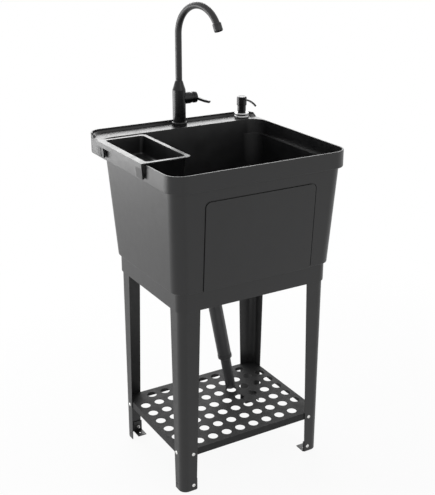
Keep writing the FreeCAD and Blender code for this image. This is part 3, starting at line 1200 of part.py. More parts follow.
def build_pump():
    middle = "(rim_height + pump_flange_height / 2)"
    subpart("pump_flange", at_pump("pump_flange", [
        ("pump_bore", "pump_shank_bottom"), ("pump_shank_radius", "pump_shank_bottom"),
        ("pump_shank_radius", "rim_height"), ("pump_flange_radius", "rim_height"),
        ("pump_flange_radius", middle + " - flange_groove / 2"),
        ("pump_flange_radius - groove_depth", middle + " - flange_groove / 2"),
        ("pump_flange_radius - groove_depth", middle + " + flange_groove / 2"),
        ("pump_flange_radius", middle + " + flange_groove / 2"),
        ("pump_flange_radius", "pump_flange_top - 1.4"),
        ("pump_flange_radius - 1.4", "pump_flange_top"),
        ("sleeve_radius + sleeve_gap", "pump_flange_top"),
        ("sleeve_radius + sleeve_gap", "sleeve_seat"), ("pump_bore", "sleeve_seat")]))
    stem_bore = "stem_rod + stem_running"
    subpart("pump_guide", tube("pump_guide", "pump_bore - thread_fit", stem_bore,
                               "guide_bottom", "sleeve_seat", "pump_x", "pump_y"))
    subpart("pump_barrel", at_pump("pump_barrel", [
        ("dip_radius - dip_wall", "barrel_bottom"), ("barrel_radius", "barrel_bottom"),
        ("barrel_radius", "guide_bottom"), ("barrel_bore", "guide_bottom"),
        ("barrel_bore", "barrel_bottom + barrel_wall"),
        ("dip_radius - dip_wall", "barrel_bottom + barrel_wall")]))
    subpart("pump_stem", at_pump("pump_stem", [
        ("0", "piston_bottom"), ("barrel_bore - piston_gap", "piston_bottom"),
        ("barrel_bore - piston_gap", "piston_top"), ("stem_rod", "piston_top"),
        ("stem_rod", "pump_head_top - 3"), ("0", "pump_head_top - 3")]))
    subpart("pump_sleeve", tube("pump_sleeve", "sleeve_radius", "stem_rod", "sleeve_bottom",
                                "pump_head_bottom - head_rest", "pump_x", "pump_y"))
    subpart("pump_spring", tube("pump_spring", "barrel_bore - 0.4",
                                "barrel_bore - 0.4 - spring_wall", "barrel_bottom + barrel_wall",
                                "piston_bottom", "pump_x", "pump_y"))
    head = at_pump("pump_head_turned", [
        ("stem_rod + spindle_running", "pump_head_bottom"),
        ("pump_head_radius - 0.6", "pump_head_bottom"),
        ("pump_head_radius", "pump_head_bottom + 0.6"),
        ("pump_head_radius", "pump_head_top - 1.2"), ("pump_head_radius - 1.2", "pump_head_top"),
        ("0", "pump_head_top"), ("0", "pump_head_top - 2.9"),
        ("stem_rod + spindle_running", "pump_head_top - 2.9")])
    socket = doc.addObject("Part::Cylinder", "nozzle_socket")
    bind(socket, Radius="nozzle_radius + slip_fit", Height="4.3")
    turn(socket, AXIS_X, "90")
    put(socket, "0", "-pump_head_radius + 4.2", "nozzle_z")
    socket_placed = aim("nozzle_socket_aimed", socket)
    subpart("pump_head", cut("pump_head", head, socket_placed))
    subpart("pump_nozzle", aim("pump_nozzle", nozzle_tube()))
    subpart("pump_nut", hex_nut("pump_nut", "pump_nut_radius", "pump_shank_radius + thread_fit",
                                "deck_under - pump_nut_height", "deck_under",
                                "pump_x", "pump_y"))


def aim(name, item):
    """Carry a part drawn at the origin to the soap pump's axis, turned to the nozzle's yaw."""
    carrier = doc.addObject("Part::Compound", name)
    carrier.Links = [item]
    turn(carrier, AXIS_Z, "nozzle_yaw")
    return put(carrier, "pump_x", "pump_y", "0")


def nozzle_tube():
    """Straight start out of the head, then a bend down."""
    pieces = []
    for word, radius in (("outer", "nozzle_radius"), ("bore", "nozzle_bore")):
        straight = doc.addObject("Part::Cylinder", "nozzle_straight_" + word)
        bind(straight, Radius=radius, Height="nozzle_straight + 4")
        turn(straight, AXIS_X, "90")
        put(straight, "0", "-pump_head_radius + 4", "nozzle_z")
        bend = doc.addObject("Part::Torus", "nozzle_bend_" + word)
        bind(bend, Radius1="nozzle_arc", Radius2=radius, Angle3="nozzle_turn")
        bend.Placement = FreeCAD.Placement(
            FreeCAD.Vector(0, 0, 0),
            FreeCAD.Rotation(FreeCAD.Vector(0, 0, 1), FreeCAD.Vector(0, -1, 0),
                             FreeCAD.Vector(1, 0, 0), "XYZ"))
        bend.setExpression(".Placement.Base.y", formula("-pump_head_radius - nozzle_straight"))
        bend.setExpression(".Placement.Base.z", formula("nozzle_z - nozzle_arc"))
        pieces.append(fuse("nozzle_run_" + word, straight, bend))
    return cut("nozzle_hollow", *pieces)


def build_bottle():
    neck = "pump_shank_radius + thread_fit"
    subpart("soap_bottle", at_pump("soap_bottle", [
        ("0", "bottle_bottom"), ("bottle_radius - 3", "bottle_bottom"),
        ("bottle_radius", "bottle_bottom + 3"), ("bottle_radius", "bottle_shoulder - 14"),
        (neck + " + bottle_wall", "bottle_shoulder - 4"), (neck + " + bottle_wall", "bottle_top"),
        (neck, "bottle_top"), (neck, "bottle_shoulder - 5"),
        ("bottle_radius - bottle_wall", "bottle_shoulder - 15"),
        ("bottle_radius - bottle_wall", "bottle_bottom + 4"),
        ("bottle_radius - 4", "bottle_bottom + bottle_wall"), ("0", "bottle_bottom + bottle_wall")]))
    subpart("dip_tube", tube("dip_tube", "dip_radius", "dip_radius - dip_wall",
                             "bottle_bottom + dip_rest", "barrel_bottom", "pump_x", "pump_y"))


build_pump()
build_bottle()

# ---------------------------------------------------------------- strainer and drain


def at_drain(name, points):
    return turned(name, points, "drain_x", "drain_y")


def build_strainer():
    flange_top = "floor_top + strainer_flange_height"
    subpart("strainer_body", at_drain("strainer_body", [
        ("tail_bore", "tail_bottom"), ("tail_radius", "tail_bottom"),
        ("tail_radius", "cup_bottom"), ("strainer_cup", "cup_bottom"),
        ("strainer_cup", "floor_top"), ("strainer_flange_radius", "floor_top"),
        ("strainer_flange_radius", flange_top + " - 1"),
        ("strainer_flange_radius - 2", flange_top), ("cup_inside", flange_top),
        ("cup_inside", "basket_seat"), ("cup_inside - cup_step", "basket_seat"),
        ("cup_inside - cup_step", "cup_bottom + cup_wall"),
        ("tail_bore", "cup_bottom + cup_wall")]))
    rim_top = "basket_seat + basket_rim"
    basket = at_drain("basket_turned", [
        ("0", "basket_floor"), ("basket_cup - basket_inset", "basket_floor"),
        ("basket_cup", rim_top + " - basket_rim"), ("basket_radius", "basket_seat"),
        ("basket_radius", rim_top), ("basket_cup - basket_sheet", rim_top),
        ("basket_cup - basket_inset - basket_sheet", "basket_floor + basket_sheet"),
        ("knob_radius", "basket_floor + basket_sheet"), ("knob_radius", rim_top + " + knob_height - 3"),
        ("knob_radius + 2", rim_top + " + knob_height - 2"), ("knob_radius + 2", rim_top + " + knob_height"),
        ("0", rim_top + " + knob_height")])
    holes = []
    for index in range(int(round(worth("basket_hole_count")))):
        angle = "%d * 360 / basket_hole_count" % index
        holes.append(rod("basket_hole_%d" % index, "basket_hole", "basket_floor - 1",
                         "basket_floor + basket_sheet + 1",
                         "drain_x + basket_hole_ring * cos(%s)" % angle,
                         "drain_y + basket_hole_ring * sin(%s)" % angle))
    subpart("strainer_basket", cut("strainer_basket", basket, *holes))
    bore = "strainer_cup + thread_fit"
    for label, radius, low, high in (
            ("strainer_gasket", "seal_radius", "seal_bottom", "body_bottom"),
            ("strainer_washer", "seal_radius", "paper_bottom", "seal_bottom")):
        subpart(label, tube(label, radius, bore, low, high, "drain_x", "drain_y"))
    ring = tube("ring_nut_turned", "ring_nut_radius", bore, "ring_nut_bottom", "paper_bottom",
                "drain_x", "drain_y")
    lugs = []
    for index in range(8):
        lug = box("ring_nut_notch_%d" % index,
                  ("ring_nut_radius - 3", "ring_nut_radius + 3"), ("-4", "4"),
                  ("ring_nut_bottom - 1", "paper_bottom + 1"))
        holder = group("ring_nut_notch_turned_%d" % index, lug)
        turn(holder, AXIS_Z, "%d * 45" % index)
        put(holder, "drain_x", "drain_y", "0")
        lugs.append(holder)
    subpart("strainer_lock_nut", cut("strainer_lock_nut", ring, *lugs))


def lean(name, item):
    """Carry a drain part drawn down from the origin to the bend, leaning over to +X."""
    carrier = doc.addObject("Part::Compound", name)
    carrier.Links = [item]
    turn(carrier, AXIS_Y, "-drain_lean")
    return put(carrier, "drain_x", "drain_y", "bend_height")


def build_drain():
    flange_low = "tail_bottom - tailpiece_flange"
    subpart("coupling_nut", at_drain("coupling_nut", [
        ("pipe_radius + slip_fit", flange_low + " - coupling_lip"),
        ("coupling_radius", flange_low + " - coupling_lip"),
        ("coupling_radius", flange_low + " - coupling_lip + coupling_height"),
        ("tail_radius + thread_fit", flange_low + " - coupling_lip + coupling_height"),
        ("tail_radius + thread_fit", flange_low), ("pipe_radius + slip_fit", flange_low)]))
    subpart("tailpiece", at_drain("tailpiece", [
        ("pipe_radius - pipe_wall", "bend_height + bend_clear"),
        ("pipe_radius", "bend_height + bend_clear"), ("pipe_radius", flange_low),
        ("tail_radius - slip_fit", flange_low), ("tail_radius - slip_fit", "tail_bottom"),
        ("pipe_radius - pipe_wall", "tail_bottom")]))
    build_elbow()
    subpart("slip_nut_upper", at_drain("slip_nut_upper", slip_nut_section("elbow_top", "1")))
    lower_nut = turned("slip_nut_lower_turned", slip_nut_section("-elbow_arm", "-1"))
    subpart("slip_nut_lower", lean("slip_nut_lower", lower_nut))
    upper = tube("upper_pipe_turned", "pipe_radius", "upper_pipe_bore", "-upper_pipe_length",
                 "-bend_clear")
    subpart("drain_pipe_upper", lean("drain_pipe_upper", upper))
    lower = tube("lower_pipe_turned", "lower_pipe_radius", "lower_pipe_radius - pipe_wall",
                 "-lower_pipe_end", "-lower_pipe_start")
    subpart("drain_pipe_lower", lean("drain_pipe_lower", lower))
    sleeve_high = "-upper_pipe_length + reducer_length"
    reducer = turned("reducer_turned", [
        ("lower_pipe_radius + slip_fit", "-upper_pipe_length - 3"),
        ("lower_pipe_radius + 1.6", "-upper_pipe_length - 3"),
        ("pipe_radius + reducer_proud", "-upper_pipe_length"),
        ("pipe_radius + reducer_proud", sleeve_high),
        ("pipe_radius + slip_fit", sleeve_high), ("pipe_radius + slip_fit", "-upper_pipe_length"),
        ("upper_pipe_bore - slip_fit", "-upper_pipe_length"),
        ("upper_pipe_bore - slip_fit", sleeve_high + " + 9"),
        ("lower_pipe_radius + slip_fit", sleeve_high + " + 9")])
    subpart("drain_reducer", lean("drain_reducer", reducer))


def slip_nut_section(face, way):
    """Half section of a slip nut. Its lip lies past the elbow's end, its skirt goes round it."""
    lip = "(%s + %s * coupling_lip)" % (face, way)
    back = "(%s + %s * (coupling_lip - slip_nut_height))" % (face, way)
    return [("pipe_radius + slip_fit", face), ("pipe_radius + slip_fit", lip),
            ("coupling_radius", lip), ("coupling_radius", back),
            ("elbow_radius + thread_fit", back), ("elbow_radius + thread_fit", face)]


def build_elbow():
    """Short bent coupling between the upright tailpiece and the leaning drain pipe."""
    solids = []
    for word, radius in (("outer", "elbow_radius"), ("bore", "pipe_radius + slip_fit")):
        reach = "elbow_arm" if word == "outer" else "elbow_radius + 2"
        upright = rod("elbow_upright_" + word, radius, "bend_height", "bend_height + " + reach,
                      "drain_x", "drain_y")
        knuckle = ball("elbow_knuckle_" + word, radius + " + elbow_bulge", "drain_x", "drain_y",
                       "bend_height")
        arm = doc.addObject("Part::Cylinder", "elbow_arm_" + word)
        bind(arm, Radius=radius, Height=reach)
        put(arm, "0", "0", "-(%s)" % reach)
        leaning = lean("elbow_leaning_" + word, arm)
        solids.append(fuse("elbow_" + word, upright, knuckle, leaning))
    subpart("drain_elbow", cut("drain_elbow", *solids))


build_strainer()
build_drain()

# ---------------------------------------------------------------- check and write

doc.recompute()
faults = []
for item in doc.Objects:
    if "Invalid" in item.State or "Error" in item.State:
        faults.append("%s is %s" % (item.Name, item.State))
for item in nodes:
    shape = item.Shape
    if shape.isNull() or not shape.isValid() or not shape.Solids:
        faults.append("%s has no valid solid" % item.Label)
if faults:
    raise RuntimeError("; ".join(faults))

os.makedirs("parts", exist_ok=True)
for item in nodes:
    item.Shape.exportStep("parts/%s.step" % item.Label)
    limits = item.Shape.BoundBox
    print("%-26s solids %2d  volume %10.0f  z %7.1f..%7.1f" % (
        item.Label, len(item.Shape.Solids), item.Shape.Volume, limits.ZMin, limits.ZMax))
print("%d sub-parts" % len(nodes))
print("anchor holes x %.3f y %.3f" % (worth("screw_x"), worth("anchor_y")))
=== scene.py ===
import bpy
import bmesh
import math
import json
from mathutils import Vector, Matrix


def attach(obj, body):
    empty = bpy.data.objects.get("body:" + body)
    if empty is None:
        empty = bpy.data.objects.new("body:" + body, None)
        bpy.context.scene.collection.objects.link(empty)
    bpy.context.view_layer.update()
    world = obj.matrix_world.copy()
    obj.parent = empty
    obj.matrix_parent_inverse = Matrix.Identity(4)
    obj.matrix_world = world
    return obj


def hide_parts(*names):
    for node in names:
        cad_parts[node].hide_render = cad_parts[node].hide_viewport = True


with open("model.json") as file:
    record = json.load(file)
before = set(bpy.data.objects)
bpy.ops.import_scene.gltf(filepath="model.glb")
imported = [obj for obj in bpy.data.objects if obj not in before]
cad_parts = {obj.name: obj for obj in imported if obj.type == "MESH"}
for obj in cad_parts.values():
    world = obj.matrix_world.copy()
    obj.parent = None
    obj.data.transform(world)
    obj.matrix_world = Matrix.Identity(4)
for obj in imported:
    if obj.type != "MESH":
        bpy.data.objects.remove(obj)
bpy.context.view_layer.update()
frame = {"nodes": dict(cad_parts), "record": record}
nodes = frame["nodes"]
scene = bpy.context.scene
print("frame loaded:", len(nodes), "nodes")

mm = 0.001


# ------ camera

camera = {
    "place": (-1148.21, -1925.90, 1443.26),
    "yaw": 30.551,       # degrees to the right of +Y
    "pitch": 20.872,     # degrees down
    "roll": -0.108,
    "focal": 914.27,     # in pixels of the 435 x 495 photograph
    "longSide": 495,
}


def aimCamera():
    data = bpy.data.cameras.new("photoCamera")
    data.sensor_width = 36
    data.lens = camera["focal"] * 36 / camera["longSide"]
    data.clip_start = 0.05
    data.clip_end = 60
    item = bpy.data.objects.new("photoCamera", data)
    scene.collection.objects.link(item)
    item.location = Vector(camera["place"]) * mm
    item.rotation_mode = "QUATERNION"
    yaw = math.radians(camera["yaw"])
    pitch = math.radians(camera["pitch"])
    forward = Vector((math.sin(yaw) * math.cos(pitch), math.cos(yaw) * math.cos(pitch),
                      -math.sin(pitch)))
    upright = forward.to_track_quat("-Z", "Y")
    item.rotation_quaternion = Matrix.Rotation(math.radians(camera["roll"]), 4,
                                               forward).to_quaternion() @ upright
    scene.camera = item


aimCamera()
print("camera placed")


# ------ materials

def newMaterial(name, colour, roughness, metallic=0.0, specular=0.5):
    material = bpy.data.materials.new(name)
    material.use_nodes = True
    shader = material.node_tree.nodes["Principled BSDF"]
    shader.inputs["Base Color"].default_value = (*colour, 1)
    shader.inputs["Roughness"].default_value = roughness
    shader.inputs["Metallic"].default_value = metallic
    shader.inputs["Specular IOR Level"].default_value = specular
    return material


def noise(material, scale, detail=4.0, stretch=(1, 1, 1)):
    tree = material.node_tree
    place = tree.nodes.new("ShaderNodeTexCoord")
    mapping = tree.nodes.new("ShaderNodeMapping")
    mapping.inputs["Scale"].default_value = stretch
    texture = tree.nodes.new("ShaderNodeTexNoise")
    texture.inputs["Scale"].default_value = scale
    texture.inputs["Detail"].default_value = detail
    tree.links.new(place.outputs["Object"], mapping.inputs["Vector"])
    tree.links.new(mapping.outputs["Vector"], texture.inputs["Vector"])
    return texture.outputs["Fac"]


def spread(material, source, low, high):
    tree = material.node_tree
    ramp = tree.nodes.new("ShaderNodeMapRange")
    ramp.inputs["From Min"].default_value = 0.3
    ramp.inputs["From Max"].default_value = 0.7
    ramp.inputs["To Min"].default_value = low
    ramp.inputs["To Max"].default_value = high
    tree.links.new(source, ramp.inputs["Value"])
    return ramp.outputs["Result"]


def tint(material, source, low, high):
    tree = material.node_tree
    mix = tree.nodes.new("ShaderNodeMix")
    mix.data_type = "RGBA"
    mix.inputs[6].default_value = (*low, 1)
    mix.inputs[7].default_value = (*high, 1)
    tree.links.new(spread(material, source, 0, 1), mix.inputs[0])
    tree.links.new(mix.outputs[2], tree.nodes["Principled BSDF"].inputs["Base Color"])


def roughen(material, source, low, high):
    shader = material.node_tree.nodes["Principled BSDF"]
    material.node_tree.links.new(spread(material, source, low, high), shader.inputs["Roughness"])


def emboss(material, heights, distance):
    # heights is a list of (noise output, strength); they are added up into one bump
    tree = material.node_tree
    normal = None
    for source, strength in heights:
        bump = tree.nodes.new("ShaderNodeBump")
        bump.inputs["Strength"].default_value = strength
        bump.inputs["Distance"].default_value = distance
        tree.links.new(source, bump.inputs["Height"])
        if normal:
            tree.links.new(normal, bump.inputs["Normal"])
        normal = bump.outputs["Normal"]
    tree.links.new(normal, tree.nodes["Principled BSDF"].inputs["Normal"])


def mouldedPlastic(name, colour, roughness=0.42, grain=0.25):
    material = newMaterial(name, colour, roughness)
    cloud = noise(material, 9, 3)
    tint(material, cloud, [c * 0.92 for c in colour], [c * 1.08 for c in colour])
    roughen(material, noise(material, 30, 5), roughness - 0.04, roughness + 0.05)
    emboss(material, [(noise(material, 1400, 2), grain), (noise(material, 14, 2), 0.03)], 0.0003)
    return material


def powderCoat(name, colour, roughness=0.4):
    material = newMaterial(name, colour, roughness)
    tint(material, noise(material, 25, 4), [c * 0.9 for c in colour], [c * 1.12 for c in colour])
    roughen(material, noise(material, 60, 4), roughness - 0.04, roughness + 0.06)
    emboss(material, [(noise(material, 900, 3), 0.3), (noise(material, 120, 2), 0.12)], 0.0003)
    return material


def coatedBrass(name, colour, roughness=0.3):
    material = newMaterial(name, colour, roughness, 0.0, 0.35)
    tint(material, noise(material, 60, 4), [c * 0.85 for c in colour], [c * 1.15 for c in colour])
    roughen(material, noise(material, 90, 5), roughness - 0.04, roughness + 0.08)
    emboss(material, [(noise(material, 2200, 2), 0.12)], 0.0002)
    return material


def spunSteel(name, colour, roughness=0.25, stretch=(1, 1, 14)):
    material = newMaterial(name, colour, roughness, 1.0)
    streaks = noise(material, 220, 3, stretch)
    roughen(material, streaks, roughness - 0.06, roughness + 0.12)
    tint(material, streaks, [c * 0.9 for c in colour], [min(1, c * 1.06) for c in colour])
    emboss(material, [(streaks, 0.08)], 0.0002)
    return material


def softRubber(name, colour, roughness=0.7):
    material = newMaterial(name, colour, roughness)
    tint(material, noise(material, 80, 3), [c * 0.8 for c in colour], [c * 1.3 for c in colour])
    emboss(material, [(noise(material, 700, 3), 0.3)], 0.0003)
    return material


def milkyPlastic(name, colour, roughness=0.35):
    material = newMaterial(name, colour, roughness)
    shader = material.node_tree.nodes["Principled BSDF"]
    shader.inputs["Subsurface Weight"].default_value = 0.15
    shader.inputs["Subsurface Radius"].default_value = (0.004, 0.004, 0.004)
    tint(material, noise(material, 18, 3), [c * 0.94 for c in colour], colour)
    roughen(material, noise(material, 50, 3), roughness - 0.05, roughness + 0.08)
    emboss(material, [(noise(material, 500, 2), 0.08)], 0.0003)
    return material


finishes = {
    "tub_plastic": mouldedPlastic("tubPlastic", (0.006, 0.0061, 0.0067), 0.36, 0.2),
    "tray_plastic": mouldedPlastic("trayPlastic", (0.006, 0.0061, 0.0067), 0.34, 0.2),
    "leg_steel": powderCoat("legPowderCoat", (0.008, 0.0081, 0.0085), 0.4),
    "screw_steel": spunSteel("zincScrews", (0.8, 0.8, 0.79), 0.3, (1, 1, 1)),
    "tap_black": coatedBrass("tapBlack", (0.004, 0.004, 0.0044), 0.26),
    "spout_coat": coatedBrass("spoutCoat", (0.03, 0.03, 0.031), 0.34),
    "pump_collar": spunSteel("pumpCollar", (0.5, 0.5, 0.5), 0.14, (1, 1, 1)),
    "aerator_plastic": milkyPlastic("aeratorPlastic", (0.25, 0.26, 0.27), 0.4),
    "seal_rubber": softRubber("sealRubber", (0.015, 0.015, 0.015)),
    "brass_parts": spunSteel("turnedBrass", (0.7, 0.5, 0.22), 0.28),
    "pump_black": coatedBrass("pumpBlack", (0.005, 0.005, 0.0055), 0.26),
    "nozzle_black": coatedBrass("nozzleBlack", (0.009, 0.009, 0.0095), 0.28),
    "pump_inner": milkyPlastic("pumpInner", (0.62, 0.62, 0.6)),
    "bottle_plastic": milkyPlastic("bottlePlastic", (0.66, 0.68, 0.68), 0.28),
    "spring_steel": spunSteel("springSteel", (0.6, 0.6, 0.6), 0.25),
    "drain_steel": spunSteel("drainSteel", (0.62, 0.62, 0.62), 0.24),
    "pipe_plastic": mouldedPlastic("pipePlastic", (0.03, 0.03, 0.032), 0.45, 0.2),
}
shelfCoat = powderCoat("shelfPowderCoat", (0.012, 0.0121, 0.0125), 0.62)
shelfCoat.node_tree.nodes["Principled BSDF"].inputs["Specular IOR Level"].default_value = 0.3
slotOf = {part["node"]: part["material_slot"] for part in frame["record"]["subparts"]}
bodyOf = {node: body for body, members in frame["record"]["behaviour"]["bodies"].items()
          for node in members}
for name, node in nodes.items():
    node.data.materials.clear()
    node.data.materials.append(finishes[slotOf[name]])
    for polygon in node.data.polygons:
        polygon.use_smooth = False
print("materials made:", len(finishes))


# ------ tools for the pieces

def finishPiece(name, bm, node, others=(), sharp=32, smooth=True):
    # the mesh in bm, in millimetres, becomes a piece that stands for the node
    bmesh.ops.remove_doubles(bm, verts=bm.verts, dist=1e-4)
    bmesh.ops.recalc_face_normals(bm, faces=bm.faces)
    bmesh.ops.scale(bm, vec=(mm, mm, mm), verts=bm.verts)
    mesh = bpy.data.meshes.new(name)
    bm.to_mesh(mesh)
    bm.free()
    mesh.materials.append(finishes[slotOf[node]])
    if smooth:
        mesh.shade_smooth()
        mesh.set_sharp_from_angle(angle=math.radians(sharp))
    item = bpy.data.objects.new(name, mesh)
    scene.collection.objects.link(item)
    if smooth:
        shading = item.modifiers.new("evenShading", "WEIGHTED_NORMAL")
        shading.keep_sharp = True
    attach(item, bodyOf[node])
    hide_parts(node, *others)
    return item


def block(low, high, zLow, zHigh, corners=(0, 0, 0, 0), steps=10):
    # tapered block: low and high are (x0, x1, y0, y1) at the two heights, and corners are the
    # radii of its upright edges: front left, front right, back right, back left
    bm = bmesh.new()
    bmesh.ops.create_cube(bm, size=2)
    for vert in bm.verts:
        x0, x1, y0, y1 = high if vert.co.z > 0 else low
        vert.co = (x1 if vert.co.x > 0 else x0, y1 if vert.co.y > 0 else y0,
                   zHigh if vert.co.z > 0 else zLow)
    middle = Vector(((low[0] + low[1]) / 2, (low[2] + low[3]) / 2, 0))
    uprights = [e for e in bm.edges if abs(e.verts[0].co.z - e.verts[1].co.z) > 1e-6]
    jobs = []
    for edge in uprights:
        side = (edge.verts[0].co + edge.verts[1].co) / 2 - middle
        corner = {(False, False): 0, (True, False): 1, (True, True): 2,
                  (False, True): 3}[(side.x > 0, side.y > 0)]
        jobs.append((edge, corners[corner]))
    for edge, radius in jobs:
        if radius and edge.is_valid:
            bmesh.ops.bevel(bm, geom=[edge], offset=radius, offset_type="OFFSET",
                            segments=steps, profile=0.5, affect="EDGES", material=-1)
    return bm


def levelEdges(bm, z):
    return [e for e in bm.edges if all(abs(v.co.z - z) < 1e-3 for v in e.verts)]


def soften(bm, edges, radius, steps=3):
    bmesh.ops.bevel(bm, geom=edges, offset=radius, offset_type="OFFSET", segments=steps,
                    profile=0.5, affect="EDGES", material=-1, clamp_overlap=True)


def rod(radius, zLow, zHigh, x=0, y=0, segments=48):
    bm = bmesh.new()
    bmesh.ops.create_cone(bm, cap_ends=True, segments=segments, radius1=radius, radius2=radius,
                          depth=zHigh - zLow)
    bmesh.ops.translate(bm, vec=(x, y, (zLow + zHigh) / 2), verts=bm.verts)
    return bm


def combine(base, tools, operation):
    # base and tools are bmeshes; the result is a new one
    def asObject(bm, label):
        mesh = bpy.data.meshes.new(label)
        bm.to_mesh(mesh)
        bm.free()
        item = bpy.data.objects.new(label, mesh)
        scene.collection.objects.link(item)
        return item
    baseItem = asObject(base, "baseShape")
    toolItems = [asObject(tool, "toolShape") for tool in tools]
    for toolItem in toolItems:
        modifier = baseItem.modifiers.new("join", "BOOLEAN")
        modifier.operation = operation
        modifier.solver = "EXACT"
        modifier.object = toolItem
    graph = bpy.context.evaluated_depsgraph_get()
    result = bmesh.new()
    result.from_mesh(baseItem.evaluated_get(graph).to_mesh())
    for item in [baseItem, *toolItems]:
        mesh = item.data
        bpy.data.objects.remove(item)
        bpy.data.meshes.remove(mesh)
    return result


def sharpEdges(bm, degrees=35):
    limit = math.radians(degrees)
    return [e for e in bm.edges if len(e.link_faces) == 2 and e.calc_face_angle(0) > limit]


def dressNode(name, node, radius, steps=2, degrees=35, sharp=32):
    # a merged copy of the node, with its flat faces made whole and its sharp edges softened
    bm = bmesh.new()
    bm.from_mesh(nodes[node].data)
    bmesh.ops.scale(bm, vec=(1000, 1000, 1000), verts=bm.verts)
    bmesh.ops.remove_doubles(bm, verts=bm.verts, dist=0.003)
    bmesh.ops.dissolve_limit(bm, angle_limit=math.radians(0.6), verts=bm.verts, edges=bm.edges,
                             use_dissolve_boundaries=False)
    if radius:
        soften(bm, sharpEdges(bm, degrees), radius, steps)
    return finishPiece(name, bm, node, sharp=sharp)


def turned(profile, x=0, y=0, segments=64, axis=(0, 0, 1), closed=True):
    # (radius, height) points turned about an axis through the origin, then moved to x, y
    bm = bmesh.new()
    verts = [bm.verts.new((radius, 0, height)) for radius, height in profile]
    edges = [bm.edges.new(pair) for pair in zip(verts, verts[1:])]
    if closed:
        edges.append(bm.edges.new((verts[-1], verts[0])))
    bmesh.ops.spin(bm, geom=verts + edges, cent=(0, 0, 0), axis=(0, 0, 1),
                   angle=math.tau, steps=segments, use_merge=True, use_duplicate=False)
    bmesh.ops.remove_doubles(bm, verts=bm.verts, dist=1e-4)
    bmesh.ops.rotate(bm, cent=(0, 0, 0), verts=bm.verts,
                     matrix=Vector((0, 0, 1)).rotation_difference(Vector(axis)).to_matrix())
    bmesh.ops.translate(bm, vec=(x, y, 0), verts=bm.verts)
    return bm


def rounded(points, radii, steps=4):
    # a section with its corners rounded: points are (radius, height), radii one for each
    made = []
    count = len(points)
    for index, (point, radius) in enumerate(zip(points, radii)):
        here = Vector(point)
        if not radius:
            made.append(tuple(here))
            continue
        before = Vector(points[index - 1])
        after = Vector(points[(index + 1) % count])
        start = here + (before - here).normalized() * min(radius, (before - here).length * 0.49)
        end = here + (after - here).normalized() * min(radius, (after - here).length * 0.49)
        for step in range(steps + 1):
            share = step / steps
            made.append(tuple(start * (1 - share) ** 2 + here * 2 * share * (1 - share)
                              + end * share ** 2))
    return made


def merged(shapes):
    # several bmeshes as one, without joining their surfaces
    whole = bmesh.new()
    for shape in shapes:
        mesh = bpy.data.meshes.new("part")
        shape.to_mesh(mesh)
        shape.free()
        whole.from_mesh(mesh)
        bpy.data.meshes.remove(mesh)
    return whole


# ------ tub

tub = {
    "rim": (-250, 250, -203.5, 275.5), "rimTop": 865, "bandBottom": 822,
    "rimCorners": (42, 42, 38, 38), "wall": 4, "rimRound": 1.2, "bandRound": 1.6,
    "body": (-227.5, 227.5, -178.3, 184), "bodyBottom": 563,
    "bodyTop": (-240, 240, -193.5, 211.14),
    "bodyCorners": (34, 34, 46, 46),
    "deckFront": 211.7, "ledgeTop": 826, "floorTop": 567,
    "hollowFront": 165.7,       # front of the hollow under the deck
    "mouthWallCorner": 46, "mouthCorners": (38, 38, 42, 42), "basinCorners": (30, 30, 42, 42),
    "mouthRound": 0.7, "ledgeRound": 2.2, "floorRound": 14, "bodyRound": 2.4,
    "skirt": (-218, 218, -171.8, 171.8), "skirtBottom": 513, "skirtWall": 3.3,
    "skirtCorner": 23.6, "socketCorner": 20.3, "skirtRound": 0.9,
    "panelHalf": 156, "panelTop": 791, "panelProud": 3, "panelCorner": 14, "panelRound": 1.7,
    "panelGroove": (0.8, 3.2, 2.4),  # width at left and top, at right, and depth
    "lipHeight": 10, "lipReach": 36, "lipCorner": 34, "lipRound": 1.4, "lipFlare": 5,
    "ribDrop": 32, "ribLength": 30, "ribWall": 3, "ribRound": 0.6,
    "frontRibs": (164.4, 162.9), "sideRibs": (209.1, 118.2),    # near corner of each, x and y
    "drain": (0, 60, 44.5), "tapHole": (12, 246, 17.5), "pumpHole": (208, 239, 13),
}


def grown(outline, by):
    x0, x1, y0, y1 = outline
    return (x0 - by, x1 + by, y0 - by, y1 + by)


def bodyAt(z, inset=0.0):
    low, high = tub["body"], tub["bodyTop"]
    share = (z - tub["bodyBottom"]) / (tub["bandBottom"] - tub["bodyBottom"])
    return grown(tuple(a + (b - a) * share for a, b in zip(low, high)), -inset)


